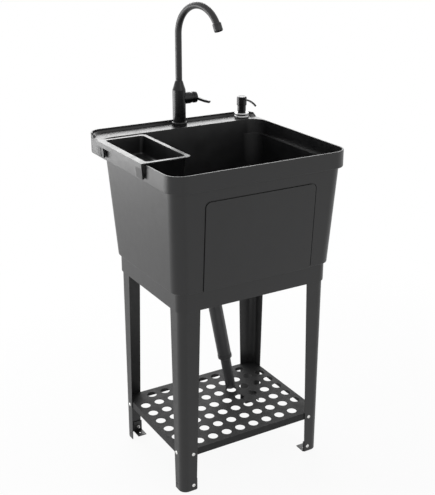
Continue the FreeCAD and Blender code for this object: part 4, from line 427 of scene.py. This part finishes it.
def makeTub():
    wall = tub["wall"]
    rim = block(tub["rim"], tub["rim"], tub["bandBottom"], tub["rimTop"], tub["rimCorners"], 12)
    soften(rim, levelEdges(rim, tub["rimTop"]), tub["rimRound"], 3)
    soften(rim, levelEdges(rim, tub["bandBottom"]), tub["bandRound"], 3)
    x0, x1, y0, y1 = tub["rim"]
    plan = (x0 + wall, x1 - wall, tub["hollowFront"], y1 - wall)
    hollow = block(plan, plan, tub["bandBottom"] - 5, tub["rimTop"] - wall,
                   (0, 0, tub["rimCorners"][2] - wall, tub["rimCorners"][3] - wall), 12)
    back = bodyAt(tub["ledgeTop"], -wall)[3]
    mouthWall = block((x0 - 1, x1 + 1, -300, back), (x0 - 1, x1 + 1, -300, tub["deckFront"] + wall),
                      tub["bandBottom"] - 6, tub["rimTop"] + 1,
                      (0, 0, tub["mouthWallCorner"], tub["mouthWallCorner"]), 12)
    hollow = combine(hollow, [mouthWall], "DIFFERENCE")
    shell = combine(rim, [hollow], "DIFFERENCE")
    body = block(tub["body"], bodyAt(tub["rimTop"] - 2), tub["bodyBottom"], tub["rimTop"] - 2,
                 tub["bodyCorners"], 12)
    soften(body, levelEdges(body, tub["bodyBottom"]), tub["bodyRound"], 4)
    skirt = block(tub["skirt"], tub["skirt"], tub["skirtBottom"], tub["bodyBottom"] + 2,
                  (tub["skirtCorner"],) * 4, 10)
    soften(skirt, levelEdges(skirt, tub["skirtBottom"]), tub["skirtRound"], 2)
    shell = combine(shell, [body, skirt, makePanel()], "UNION")
    inner = block(bodyAt(tub["floorTop"], wall), bodyAt(tub["ledgeTop"] + 2, wall),
                  tub["floorTop"], tub["ledgeTop"] + 2, tub["basinCorners"], 12)
    soften(inner, levelEdges(inner, tub["floorTop"]), tub["floorRound"], 6)
    back = bodyAt(tub["ledgeTop"], wall)[3]
    mouth = block((x0 + wall, x1 - wall, y0 + wall, back),
                  (x0 + wall, x1 - wall, y0 + wall, tub["deckFront"] + 0.1),
                  tub["ledgeTop"], tub["rimTop"] + 1, tub["mouthCorners"], 12)
    socket = grown(tub["skirt"], -tub["skirtWall"])
    under = block(socket, socket, tub["skirtBottom"] - 5, tub["bodyBottom"],
                  (tub["socketCorner"],) * 4, 10)
    holes = [rod(tub[key][2], low, high, tub[key][0], tub[key][1])
             for key, low, high in (("drain", 550, 580), ("tapHole", 850, 880),
                                    ("pumpHole", 850, 880))]
    shell = combine(shell, [inner, mouth, under, makeGroove(), *holes], "DIFFERENCE")
    bmesh.ops.remove_doubles(shell, verts=shell.verts, dist=0.01)
    bmesh.ops.dissolve_degenerate(shell, dist=0.01, edges=shell.edges)
    soften(shell, [e for e in levelEdges(shell, tub["rimTop"]) if insideRim(e)],
           tub["mouthRound"], 2)
    soften(shell, levelEdges(shell, tub["ledgeTop"]), tub["ledgeRound"], 3)
    return finishPiece("tub", merged([shell, makeLip(), *makeRibs()]), "tub",
                       ("tub_base", "tap_deck"))


def insideRim(edge):
    # true for the edges of the mouth: further in than the rim's outer rounding
    x0, x1, y0, _ = grown(tub["rim"], -3)
    return (edge.calc_face_angle(0) > 0.6
            and all(x0 < v.co.x < x1 and y0 < v.co.y < tub["deckFront"] + 1 for v in edge.verts))


def makePanel():
    # raised field of the front wall, leaning with it
    half, top, corner = tub["panelHalf"], tub["panelTop"], tub["panelCorner"]
    bottom = tub["bodyBottom"]
    bm = bmesh.new()
    bmesh.ops.create_cube(bm, size=2)
    for vert in bm.verts:
        z = top if vert.co.z > 0 else bottom
        front = bodyAt(z)[2]
        vert.co = (half if vert.co.x > 0 else -half,
                   front - tub["panelProud"] if vert.co.y < 0 else front + 2, z)
    corners = [e for e in bm.edges if all(v.co.z > top - 1 for v in e.verts)
               and abs(e.verts[0].co.x - e.verts[1].co.x) < 1]
    bmesh.ops.bevel(bm, geom=corners, offset=corner, offset_type="OFFSET", segments=8,
                    profile=0.5, affect="EDGES", material=-1)
    front = [e for e in sharpEdges(bm, 60) if all(
        v.co.y < bodyAt(v.co.z)[2] - tub["panelProud"] + 0.5 for v in e.verts)]
    soften(bm, front, tub["panelRound"], 4)
    return bm


def makeGroove():
    # cutter for the groove: a frame beside and over the raised field, leaning with the wall
    half, top, bottom = tub["panelHalf"], tub["panelTop"], tub["bodyBottom"] + 4
    wide, right, deep = tub["panelGroove"]
    shapes = []
    for growRight, grow, drop in ((right, wide, 0), (-0.2, -0.2, 12)):
        bm = bmesh.new()
        bmesh.ops.create_cube(bm, size=2)
        for vert in bm.verts:
            z = top + grow if vert.co.z > 0 else bottom - drop
            front = bodyAt(z)[2]
            vert.co = (half + growRight if vert.co.x > 0 else -half - grow,
                       front - 6 if vert.co.y < 0 else front + deep + drop / 12, z)
        corners = [e for e in bm.edges if all(v.co.z > top - 1 for v in e.verts)
                   and abs(e.verts[0].co.x - e.verts[1].co.x) < 1]
        bmesh.ops.bevel(bm, geom=corners, offset=tub["panelCorner"] + grow,
                        offset_type="OFFSET", segments=8, profile=0.5, affect="EDGES",
                        material=-1)
        shapes.append(bm)
    return combine(shapes[0], [shapes[1]], "DIFFERENCE")


def makeLip():
    # splash lip along the back of the deck, with ends that ramp down
    x0, x1, y0, y1 = tub["rim"]
    top, high, reach = tub["rimTop"], tub["lipHeight"], tub["lipReach"]
    outer = block((x0, x1, y0, y1), (x0, x1, y0, y1), top - 3, top + high,
                  tub["rimCorners"], 12)
    soften(outer, levelEdges(outer, top + high), tub["lipRound"], 3)
    inside = grown(tub["rim"], -tub["wall"])
    flare = grown(inside, -tub["lipFlare"])
    corners = (tub["lipCorner"],) * 4
    inner = block(flare, inside, top - 0.6, top + 5, corners, 12)
    upper = block(inside, inside, top + 4.9, top + high + 2, corners, 12)
    ahead = (x0 - 5, x1 + 5, y0 - 5, y1 - reach - 12)       # all that lies in front of the lip
    front = block(ahead, (*ahead[:3], y1 - reach + 9), top - 0.3, top + high + 3)
    below = block(ahead, ahead, top - 5, top)
    lip = combine(outer, [inner, upper, front, below], "DIFFERENCE")
    bmesh.ops.remove_doubles(lip, verts=lip.verts, dist=0.01)
    return lip


def makeRibs():
    # ribs under the tub that trap the tops of the legs
    ribs = []
    high, low = tub["bodyBottom"] + 1, tub["bodyBottom"] - tub["ribDrop"]
    length, wall = tub["ribLength"], tub["ribWall"]
    for sideX in (-1, 1):
        for sideY in (-1, 1):
            for (x, y), (wide, deep) in ((tub["frontRibs"], (length, wall)),
                                         (tub["sideRibs"], (wall, length))):
                plan = (*sorted((sideX * x, sideX * (x + wide))),
                        *sorted((sideY * y, sideY * (y + deep))))
                ribs.append(block(plan, plan, low, high))
    for rib in ribs:
        soften(rib, levelEdges(rib, low), tub["ribRound"], 2)
    return ribs


makeTub()
print("tub made")


# ------ stand

for corner in ("front_left", "front_right", "back_left", "back_right"):
    words = corner.split("_")
    tag = words[0] + words[1].capitalize()
    dressNode("leg." + tag, "leg_" + corner, 0.5)
    dressNode("footBracket." + tag, "foot_bracket_" + corner, 0.6)
for name, node in (("shelf", "shelf"), ("shelfEdge", "shelf_edge")):
    # the coat on the shelf is duller than on the legs
    dressNode(name, node, 0).data.materials[0] = shelfCoat

screws = {
    "headHigh": 3.0, "shankRadius": 2.5,
    "recess": (2.4, 2.4),       # radius and depth of the socket in the head
}


def makeScrews(name, node):
    # each solid of the node is one screw; its axis is the long way of its box
    heads = []
    for low, high in solidsOf(node):
        size = high - low
        way = 0 if size.x > size.y else 1
        middle = (low + high) / 2
        sign = 1 if middle[way] > 0 else -1
        axis = Vector((sign, 0, 0)) if way == 0 else Vector((0, sign, 0))
        tip = high[way] if sign > 0 else low[way]
        length = size[way]
        radius = size.z / 2
        shank = screws["shankRadius"]
        drop = screws["headHigh"] * 0.6
        deep = screws["recess"][1]
        section = [(0, -length), (shank - 0.6, -length), (shank, -length + 0.9),
                   (shank, -screws["headHigh"]), (radius, -screws["headHigh"]),
                   (radius, -drop), (radius * 0.9, -drop * 0.42), (radius * 0.7, -0.2),
                   (radius * 0.5, 0), (screws["recess"][0], 0),
                   (screws["recess"][0] - 0.2, -deep), (0, -deep - 0.5)]
        bm = turned(section, segments=28, axis=axis, closed=False)
        offset = middle.copy()
        offset[way] = tip
        bmesh.ops.translate(bm, vec=offset, verts=bm.verts)
        heads.append(bm)
    return finishPiece(name, merged(heads), node, sharp=40)


def solidsOf(node):
    # boxes, in millimetres, of the separate solids of a node
    bm = bmesh.new()
    bm.from_mesh(nodes[node].data)
    bmesh.ops.remove_doubles(bm, verts=bm.verts, dist=1e-6)
    left = set(bm.verts)
    boxes = []
    while left:
        front = [left.pop()]
        found = list(front)
        while front:
            vert = front.pop()
            for edge in vert.link_edges:
                other = edge.other_vert(vert)
                if other in left:
                    left.discard(other)
                    front.append(other)
                    found.append(other)
        low = Vector([min(v.co[k] for v in found) * 1000 for k in range(3)])
        high = Vector([max(v.co[k] for v in found) * 1000 for k in range(3)])
        boxes.append((low, high))
    bm.free()
    return boxes


makeScrews("shelfScrews", "shelf_screws")
makeScrews("footScrews", "foot_screws")
dressNode("shelfNuts", "shelf_nuts", 0.25, 1)
dressNode("footNuts", "foot_nuts", 0.25, 1)
print("stand made")


# ------ soap tray

tray = {
    "plan": (-260, -125, -72, 184), "top": 869, "flange": 4, "bottom": 819,
    "corners": (2, 12, 12, 4), "round": 0.9, "cupRound": 3, "cupInnerRound": 5,
    "cupTop": (-245, -133, -64, 176), "cupBottom": (-233, -137, -60, 172), "cupCorner": 12,
    "wall": 2.5, "lipDrop": 12, "lipWall": 3,
    "hookDrop": 39, "hookWidth": 34, "hookLean": 3, "toe": (4, -250.4),
    "ribs": (148, 154, 166, 172), "ribProud": 1.1,
}


def makeTray():
    x0, _, y0, y1 = tray["plan"]
    top = tray["top"]
    flange = block(tray["plan"], tray["plan"], top - tray["flange"], top, tray["corners"], 8)
    cup = block(tray["cupBottom"], tray["cupTop"], tray["bottom"], top - 2,
                (tray["cupCorner"],) * 4, 8)
    soften(cup, levelEdges(cup, tray["bottom"]), tray["cupRound"], 4)
    lip = (x0, x0 + tray["lipWall"], y0, y1)
    parts = [cup, block(lip, lip, top - tray["lipDrop"], top - 0.6)]
    low = top - tray["hookDrop"]
    lean = tray["hookLean"]
    for near, far in ((y0, y0 + tray["hookWidth"]), (y1 - tray["hookWidth"], y1)):
        hook = block((x0 + lean, x0 + lean + tray["lipWall"], near + 1.5, far - 1.5),
                     (x0, x0 + tray["lipWall"], near, far), low, top - 0.6)
        parts.append(hook)
        height, inner = tray["toe"]
        parts.append(block((x0 + lean, x0 + lean + 3, near + 1.5, far - 1.5),
                           (x0 + lean, inner, near + 1.5, far - 1.5), low, low + height))
    for start in tray["ribs"][::2]:
        parts.append(block((x0 + lean - tray["ribProud"], x0 + lean + 1, start, start + 5),
                           (x0 + 0.1, x0 + lean, start, start + 5), low + 1, top - 6))
    solid = combine(flange, parts, "UNION")
    wall = tray["wall"]
    inner = block(grown(tray["cupBottom"], -wall), grown(tray["cupTop"], -wall),
                  tray["bottom"] + wall, top + 1, (tray["cupCorner"] - wall,) * 4, 8)
    soften(inner, levelEdges(inner, tray["bottom"] + wall), tray["cupInnerRound"], 5)
    solid = combine(solid, [inner], "DIFFERENCE")
    bmesh.ops.remove_doubles(solid, verts=solid.verts, dist=0.01)
    bmesh.ops.dissolve_limit(solid, angle_limit=math.radians(0.5), verts=solid.verts,
                             edges=solid.edges)
    edges = [e for e in sharpEdges(solid, 50) if all(v.co.z > low - 1 for v in e.verts)
             and e.calc_length() > 0.5]
    soften(solid, edges, tray["round"], 3)
    return finishPiece("soapTray", solid, "soap_tray")


makeTray()
print("tray made")


# ------ tap

tap = {
    "axis": (12, 246), "gasketTop": 866.5, "ringRadius": 21, "seat": 875, "radius": 18,
    "coneBase": 961, "coneTop": 986, "neck": 10.6, "spoutRadius": 9, "spoutBore": 7.5,
    "foot": 944, "bendStart": 1108.5, "arc": 81.3, "turn": 155, "yaw": 11.5,
    "hubZ": 937, "hubRadius": 16, "hubEnd": 45, "ringEnd": 47, "capRing": 14.8,
    "pivotX": 53,
    "capRadius": 15.5, "capBack": 0.5, "capFront": 11,
    "aeratorRadius": 11.5, "aeratorLength": 21, "aeratorOverlap": 9,
}


def makeTapBody():
    x, y = tap["axis"]
    radius, base, top, neck = tap["radius"], tap["coneBase"], tap["coneTop"], tap["neck"]
    section = [(16.3, tap["seat"] + 14), (16.3, tap["seat"]), (radius - 0.5, tap["seat"]),
               (radius, tap["seat"] + 0.6), (radius, base - 1.0), (radius - 0.55, base - 0.5),
               (radius - 0.55, base + 0.2), (radius - 0.15, base + 0.8)]
    for step in range(1, 9):
        share = step / 8
        section.append((radius - (radius - neck) * (share ** 0.92) - 0.15 * (1 - share),
                        base + 0.8 + (top - base - 1.8) * share))
    section += [(neck - 0.35, top - 0.3), (neck - 0.8, top), (9.1, top), (9.1, tap["foot"])]
    upright = turned(section, x, y, 72)
    hub = turned(rounded([(13.2, 16), (13.2, tap["hubEnd"] - x), (tap["hubRadius"] - 0.9,
                          tap["hubEnd"] - x), (tap["hubRadius"], tap["hubEnd"] - x - 0.9),
                          (tap["hubRadius"], 5), (13.2, 5)], (0, 0.2, 0.4, 0.4, 0, 0)),
                 segments=64, axis=(1, 0, 0))
    bmesh.ops.translate(hub, vec=(x, y, tap["hubZ"]), verts=hub.verts)
    finishPiece("tapBody", merged([upright, hub]), "tap_body", sharp=28)
    seat, ring, low = tap["seat"], tap["ringRadius"], tap["gasketTop"]
    finishPiece("tapBaseRing", turned(rounded(
        [(16.5, low), (ring, low), (ring, seat - 2.2), (ring - 2.6, seat), (16.5, seat)],
        (0, 0.6, 1.4, 1.2, 0)), x, y, 72), "tap_base_ring", sharp=40)
    finishPiece("retainingRing", moved(turned(rounded(
        [(6, tap["hubEnd"]), (tap["capRing"], tap["hubEnd"]), (tap["capRing"], tap["ringEnd"]),
         (6, tap["ringEnd"])], (0, 0.4, 0.6, 0)), segments=64, axis=(1, 0, 0)),
        (0, y, tap["hubZ"])), "cartridge_ring", sharp=40)


def moved(bm, by):
    bmesh.ops.translate(bm, vec=by, verts=bm.verts)
    return bm


def tubeAlong(outer, inner, straight, arc, turn, segments=40, steps=36):
    # tube that starts at the origin along +Z and then bends over towards -Y
    bm = bmesh.new()
    ends = []
    for radius in (outer, inner):
        ring = bmesh.ops.create_circle(bm, cap_ends=False, segments=segments, radius=radius)
        edges = list({e for v in ring["verts"] for e in v.link_edges})
        first = edges
        grownRing = bmesh.ops.extrude_edge_only(bm, edges=edges)["geom"]
        bmesh.ops.translate(bm, vec=(0, 0, straight),
                            verts=[g for g in grownRing if isinstance(g, bmesh.types.BMVert)])
        top = [g for g in grownRing if isinstance(g, bmesh.types.BMEdge)]
        verts = [g for g in grownRing if isinstance(g, bmesh.types.BMVert)]
        spun = bmesh.ops.spin(bm, geom=verts + top, cent=(0, -arc, straight), axis=(1, 0, 0),
                              angle=math.radians(turn), steps=steps, use_duplicate=False)
        last = [g for g in spun["geom_last"] if isinstance(g, bmesh.types.BMEdge)]
        ends.append((first, last))
    for index in (0, 1):
        bmesh.ops.bridge_loops(bm, edges=ends[0][index] + ends[1][index])
    return bm


def onSpout(bm):
    # from the upright spout's own frame (foot of the tap at the origin) to its place
    bmesh.ops.rotate(bm, cent=(0, 0, 0), verts=bm.verts,
                     matrix=Matrix.Rotation(math.radians(tap["yaw"]), 3, "Z"))
    return moved(bm, (*tap["axis"], 0))


def makeSpout():
    bm = tubeAlong(tap["spoutRadius"], tap["spoutBore"], tap["bendStart"] - tap["foot"],
                   tap["arc"], tap["turn"])
    finishPiece("spout", onSpout(moved(bm, (0, 0, tap["foot"]))), "spout", sharp=40)
    radius, back = tap["aeratorRadius"], -tap["aeratorOverlap"]
    front = tap["aeratorLength"] + back
    housing = turned(rounded(
        [(9.15, back), (radius - 1, back), (radius, back + 1.4), (radius, back + 5.0),
         (radius - 0.7, back + 5.3), (radius - 0.7, back + 6.0), (radius, back + 6.3),
         (radius, front - 1.5), (radius - 1, front), (radius - 2.2, front),
         (radius - 2.2, 3.3), (6, 3.3), (6, 0.3), (9.15, 0.3)],
        (0, 0.4, 0.5, 0, 0, 0, 0, 0.6, 0.5, 0.3, 0, 0, 0, 0)), segments=56)
    turn = math.radians(tap["turn"])
    bmesh.ops.rotate(housing, cent=(0, 0, 0), verts=housing.verts,
                     matrix=Matrix.Rotation(turn, 3, "X"))
    moved(housing, (0, -tap["arc"] + tap["arc"] * math.cos(turn),
                    tap["bendStart"] + tap["arc"] * math.sin(turn)))
    finishPiece("aeratorHousing", onSpout(housing), "aerator_housing", sharp=40)


lever = {
    "yaw": 30, "drop": 12, "length": 51, "root": 8, "thick": 7, "width": 8.5, "knee": 31.6,
}


def makeHandle():
    radius, back, front = tap["capRadius"], tap["capBack"], tap["capFront"]
    cap = turned([(0, -3.8), (2.7, -3.8), (3, -3.5), (3, 7), (12.3, 7), (13.3, 5),
                  (14.0, 3), (14.4, back), (radius - 0.3, back),
                  (radius, back + 0.5), (radius, back + 2.2), (radius - 0.5, back + 2.6),
                  (radius - 0.5, back + 3.1), (radius, back + 3.5), (radius, front - 2.4),
                  (radius - 0.5, front - 1.2), (radius - 1.6, front - 0.45),
                  (radius - 4, front - 0.15), (7, front), (0, front)],
                 segments=64, axis=(1, 0, 0), closed=False)
    half, width, knee, length = (lever["thick"] / 2, lever["width"] / 2, lever["knee"],
                                 lever["length"])
    # side of the bar: (distance from the hub's axis, height), top edge out and lower edge back
    side = [(lever["root"], -half), (lever["root"], half), (18, half - 0.1), (knee, half - 0.3),
            (length - 6, half + 1.0), (length - 1.0, half + 1.3), (length, half + 0.2),
            (length - 1.2, -half + 2), (length - 6, -half + 1.3), (knee + 2, -half), (18, -half)]
    bar = bmesh.new()
    outlineVerts = [bar.verts.new((-width, -far, high)) for far, high in side]
    face = bar.faces.new(outlineVerts)
    pushed = bmesh.ops.extrude_face_region(bar, geom=[face])["geom"]
    bmesh.ops.translate(bar, vec=(2 * width, 0, 0),
                        verts=[g for g in pushed if isinstance(g, bmesh.types.BMVert)])
    for vert in bar.verts:
        far = -vert.co.y
        share = max(0.0, min(1.0, (far - lever["root"]) / (length - lever["root"])))
        vert.co.x *= 1.0 - 0.14 * share
    bmesh.ops.recalc_face_normals(bar, faces=bar.faces)
    soften(bar, sharpEdges(bar, 40), 1.1, 3)
    bmesh.ops.rotate(bar, cent=(0, 0, 0), verts=bar.verts, matrix=(
        Matrix.Rotation(math.radians(lever["yaw"]), 3, "Z")
        @ Matrix.Rotation(math.radians(lever["drop"]), 3, "X")))
    moved(bar, (front / 2, 0, 0))
    whole = merged([cap, bar])
    moved(whole, (tap["pivotX"], tap["axis"][1], tap["hubZ"]))
    finishPiece("leverHandle", whole, "lever_handle", sharp=36)
    dressNode("leverSpindle", "lever_spindle", 0)


makeTapBody()
makeSpout()
makeHandle()
print("tap made")


# ------ soap pump

pump = {
    "axis": (208, 239), "base": 865, "flangeTop": 880, "flangeRadius": 20.4, "groove": 872.5,
    "shank": 12.5, "bore": 9.5, "shankBottom": 820, "well": (12.4, 866.5),
    "sleeveRadius": 12, "sleeveLow": 879, "sleeveHigh": 899.8, "rodRadius": 4,
    "headRadius": 14, "headLow": 900, "headHigh": 924.5,
    "nozzle": 2.7, "nozzleBore": 1.4, "nozzleZ": 917.5, "straight": 8, "arc": 64, "turn": 34,
    "yaw": 10,
}


def makePump():
    x, y = pump["axis"]
    radius, low, high, groove = (pump["flangeRadius"], pump["base"], pump["flangeTop"],
                                 pump["groove"])
    well, floor = pump["well"]
    section = [(pump["bore"], floor), (pump["bore"], pump["shankBottom"]),
               (pump["shank"], pump["shankBottom"]), (pump["shank"], low), (radius - 1.2, low)]
    for start, end in ((low, groove - 0.5), (groove + 0.5, high)):
        middle, reach = (start + end) / 2, (end - start) / 2
        for step in range(11):
            angle = math.radians(-90 + 18 * step)
            section.append((radius - 2.6 + 2.6 * math.cos(angle) ** 0.6 if abs(step - 5) < 5
                            else radius - 2.6, middle + reach * math.sin(angle)))
    section += [(radius - 3.6, high), (well + 0.8, high), (well, high - 0.8), (well, floor)]
    finishPiece("pumpFlange", turned(section, x, y, 72), "pump_flange", sharp=50)
    finishPiece("pumpSleeve", turned(rounded(
        [(pump["rodRadius"], pump["sleeveLow"]), (pump["sleeveRadius"], pump["sleeveLow"]),
         (pump["sleeveRadius"], pump["sleeveHigh"]), (pump["rodRadius"], pump["sleeveHigh"])],
        (0, 0.5, 0.8, 0)), x, y, 56), "pump_sleeve", sharp=40)
    radius, low, high = pump["headRadius"], pump["headLow"], pump["headHigh"]
    head = turned(rounded(
        [(4.1, low), (radius - 0.8, low), (radius, low + 0.8), (radius, high - 2.2),
         (radius - 0.6, high - 1.9), (radius - 0.6, high - 1.4), (radius - 0.1, high - 1.0),
         (radius - 1.2, high), (radius - 3.0, high), (radius - 3.6, high - 0.6),
         (0, high - 0.6), (0, high - 3)],
        (0, 0.5, 0.5, 0.2, 0, 0, 0.3, 0.6, 0.5, 0.4, 0, 0)), x, y, 64)
    finishPiece("pumpHead", head, "pump_head", sharp=36)
    nozzle = tubeAlong(pump["nozzle"], pump["nozzleBore"], pump["straight"] + 4,
                       pump["arc"], pump["turn"], 28, 16)
    # from upright-then-over to forward-then-down
    bmesh.ops.rotate(nozzle, cent=(0, 0, 0), verts=nozzle.verts,
                     matrix=Matrix.Rotation(math.radians(90), 3, "X"))
    moved(nozzle, (0, -pump["headRadius"] + 4, 0))
    bmesh.ops.rotate(nozzle, cent=(0, 0, 0), verts=nozzle.verts,
                     matrix=Matrix.Rotation(math.radians(pump["yaw"]), 3, "Z"))
    finishPiece("pumpNozzle", moved(nozzle, (x, y, pump["nozzleZ"])), "pump_nozzle", sharp=40)


makePump()
print("pump made")


# ------ strainer, basket and drain

for name, node, radius in (
        ("strainerBody", "strainer_body", 0.4), ("strainerBasket", "strainer_basket", 0),
        ("strainerLockNut", "strainer_lock_nut", 0.6), ("couplingNut", "coupling_nut", 0.6),
        ("slipNutUpper", "slip_nut_upper", 0.6), ("slipNutLower", "slip_nut_lower", 0.6),
        ("drainElbow", "drain_elbow", 0), ("tailpiece", "tailpiece", 0),
        ("drainPipeUpper", "drain_pipe_upper", 0), ("drainPipeLower", "drain_pipe_lower", 0),
        ("drainReducer", "drain_reducer", 0.5), ("pumpNut", "pump_nut", 0.5),
        ("tapLockNut", "tap_lock_nut", 0.5), ("soapBottle", "soap_bottle", 0),
        ("tapShank", "tap_shank", 0.4)):
    dressNode(name, node, radius)
print("drain made")


# ------ floor, light and background

studio = {
    "floor": 0.86, "world": 0.45,
    "paperShare": 0.92,         # of the floor's white that no shadow reaches
    "shadowReach": (0.7, 1.6),  # metres from the middle, where the shadow fades out
    "lamps": {                  # place, target, size and power
        "leftSoftbox": ((-2.2, 1.9, 0.55), (0, 0, 0.6), (2.8, 0.95), 52),
        "backSoftbox": ((0.5, 2.7, 2.1), (0, 0.2, 0.8), (3.8, 1.6), 74),
        "frontFill": ((0.9, -3.4, 2.6), (0, 0, 0.6), (2.5, 2.0), 12),
    },
}


def mathNode(tree, operation, first, second):
    node = tree.nodes.new("ShaderNodeMath")
    node.operation = operation
    for socket, value in zip(node.inputs, (first, second)):
        if isinstance(value, (int, float)):
            socket.default_value = value
        else:
            tree.links.new(value, socket)
    return node.outputs[0]


def rampNode(tree, source, start, end, low, high):
    node = tree.nodes.new("ShaderNodeMapRange")
    node.interpolation_type = "SMOOTHSTEP"
    for socket, value in zip(node.inputs[1:5], (start, end, low, high)):
        socket.default_value = value
    tree.links.new(source, node.inputs[0])
    return node.outputs[0]


def floorMaterial():
    material = bpy.data.materials.new("floorPaper")
    material.use_nodes = True
    tree = material.node_tree
    shader = tree.nodes["Principled BSDF"]
    shader.inputs["Base Color"].default_value = (studio["floor"],) * 3 + (1,)
    shader.inputs["Roughness"].default_value = 0.9
    shader.inputs["Specular IOR Level"].default_value = 0.1
    place = tree.nodes.new("ShaderNodeTexCoord").outputs["Object"]
    length = tree.nodes.new("ShaderNodeVectorMath")
    length.operation = "LENGTH"
    tree.links.new(place, length.inputs[0])
    share = rampNode(tree, length.outputs["Value"], *studio["shadowReach"],
                     studio["paperShare"], 1.0)
    rays = tree.nodes.new("ShaderNodeLightPath")
    white = tree.nodes.new("ShaderNodeEmission")
    seen = mathNode(tree, "MAXIMUM", rays.outputs["Is Camera Ray"], rays.outputs["Is Glossy Ray"])
    seen = mathNode(tree, "MAXIMUM", seen, rays.outputs["Is Transmission Ray"])
    mix = tree.nodes.new("ShaderNodeMixShader")
    tree.links.new(mathNode(tree, "MULTIPLY", seen, share), mix.inputs["Fac"])
    tree.links.new(shader.outputs[0], mix.inputs[1])
    tree.links.new(white.outputs[0], mix.inputs[2])
    tree.links.new(mix.outputs[0], tree.nodes["Material Output"].inputs["Surface"])
    return material


def makeFloor():
    bm = bmesh.new()
    bmesh.ops.create_grid(bm, x_segments=1, y_segments=1, size=30)
    mesh = bpy.data.meshes.new("floor")
    bm.to_mesh(mesh)
    bm.free()
    mesh.materials.append(floorMaterial())
    floor = bpy.data.objects.new("floor", mesh)
    scene.collection.objects.link(floor)


def makeWorld():
    world = bpy.data.worlds.new("studio")
    scene.world = world
    world.use_nodes = True
    tree = world.node_tree
    plain = tree.nodes["Background"]
    plain.inputs["Color"].default_value = (1, 1, 1, 1)
    plain.inputs["Strength"].default_value = studio["world"]
    bright = tree.nodes.new("ShaderNodeBackground")
    bright.inputs["Color"].default_value = (1, 1, 1, 1)
    rays = tree.nodes.new("ShaderNodeLightPath")
    direct = mathNode(tree, "MAXIMUM", rays.outputs["Is Camera Ray"], rays.outputs["Is Glossy Ray"])
    mix = tree.nodes.new("ShaderNodeMixShader")
    tree.links.new(mathNode(tree, "MAXIMUM", direct, rays.outputs["Is Transmission Ray"]),
                   mix.inputs["Fac"])
    tree.links.new(plain.outputs[0], mix.inputs[1])
    tree.links.new(bright.outputs[0], mix.inputs[2])
    tree.links.new(mix.outputs[0], tree.nodes["World Output"].inputs["Surface"])


def lamp(name, place, target, size, power):
    data = bpy.data.lights.new(name, "AREA")
    data.shape = "RECTANGLE"
    data.size, data.size_y = size
    data.energy = power
    item = bpy.data.objects.new(name, data)
    scene.collection.objects.link(item)
    item.location = place
    item.rotation_mode = "QUATERNION"
    item.rotation_quaternion = (Vector(target) - Vector(place)).to_track_quat("-Z", "Y")


makeFloor()
makeWorld()
for name, settings in studio["lamps"].items():
    lamp(name, *settings)
scene.view_settings.view_transform = "Standard"
print("studio made")
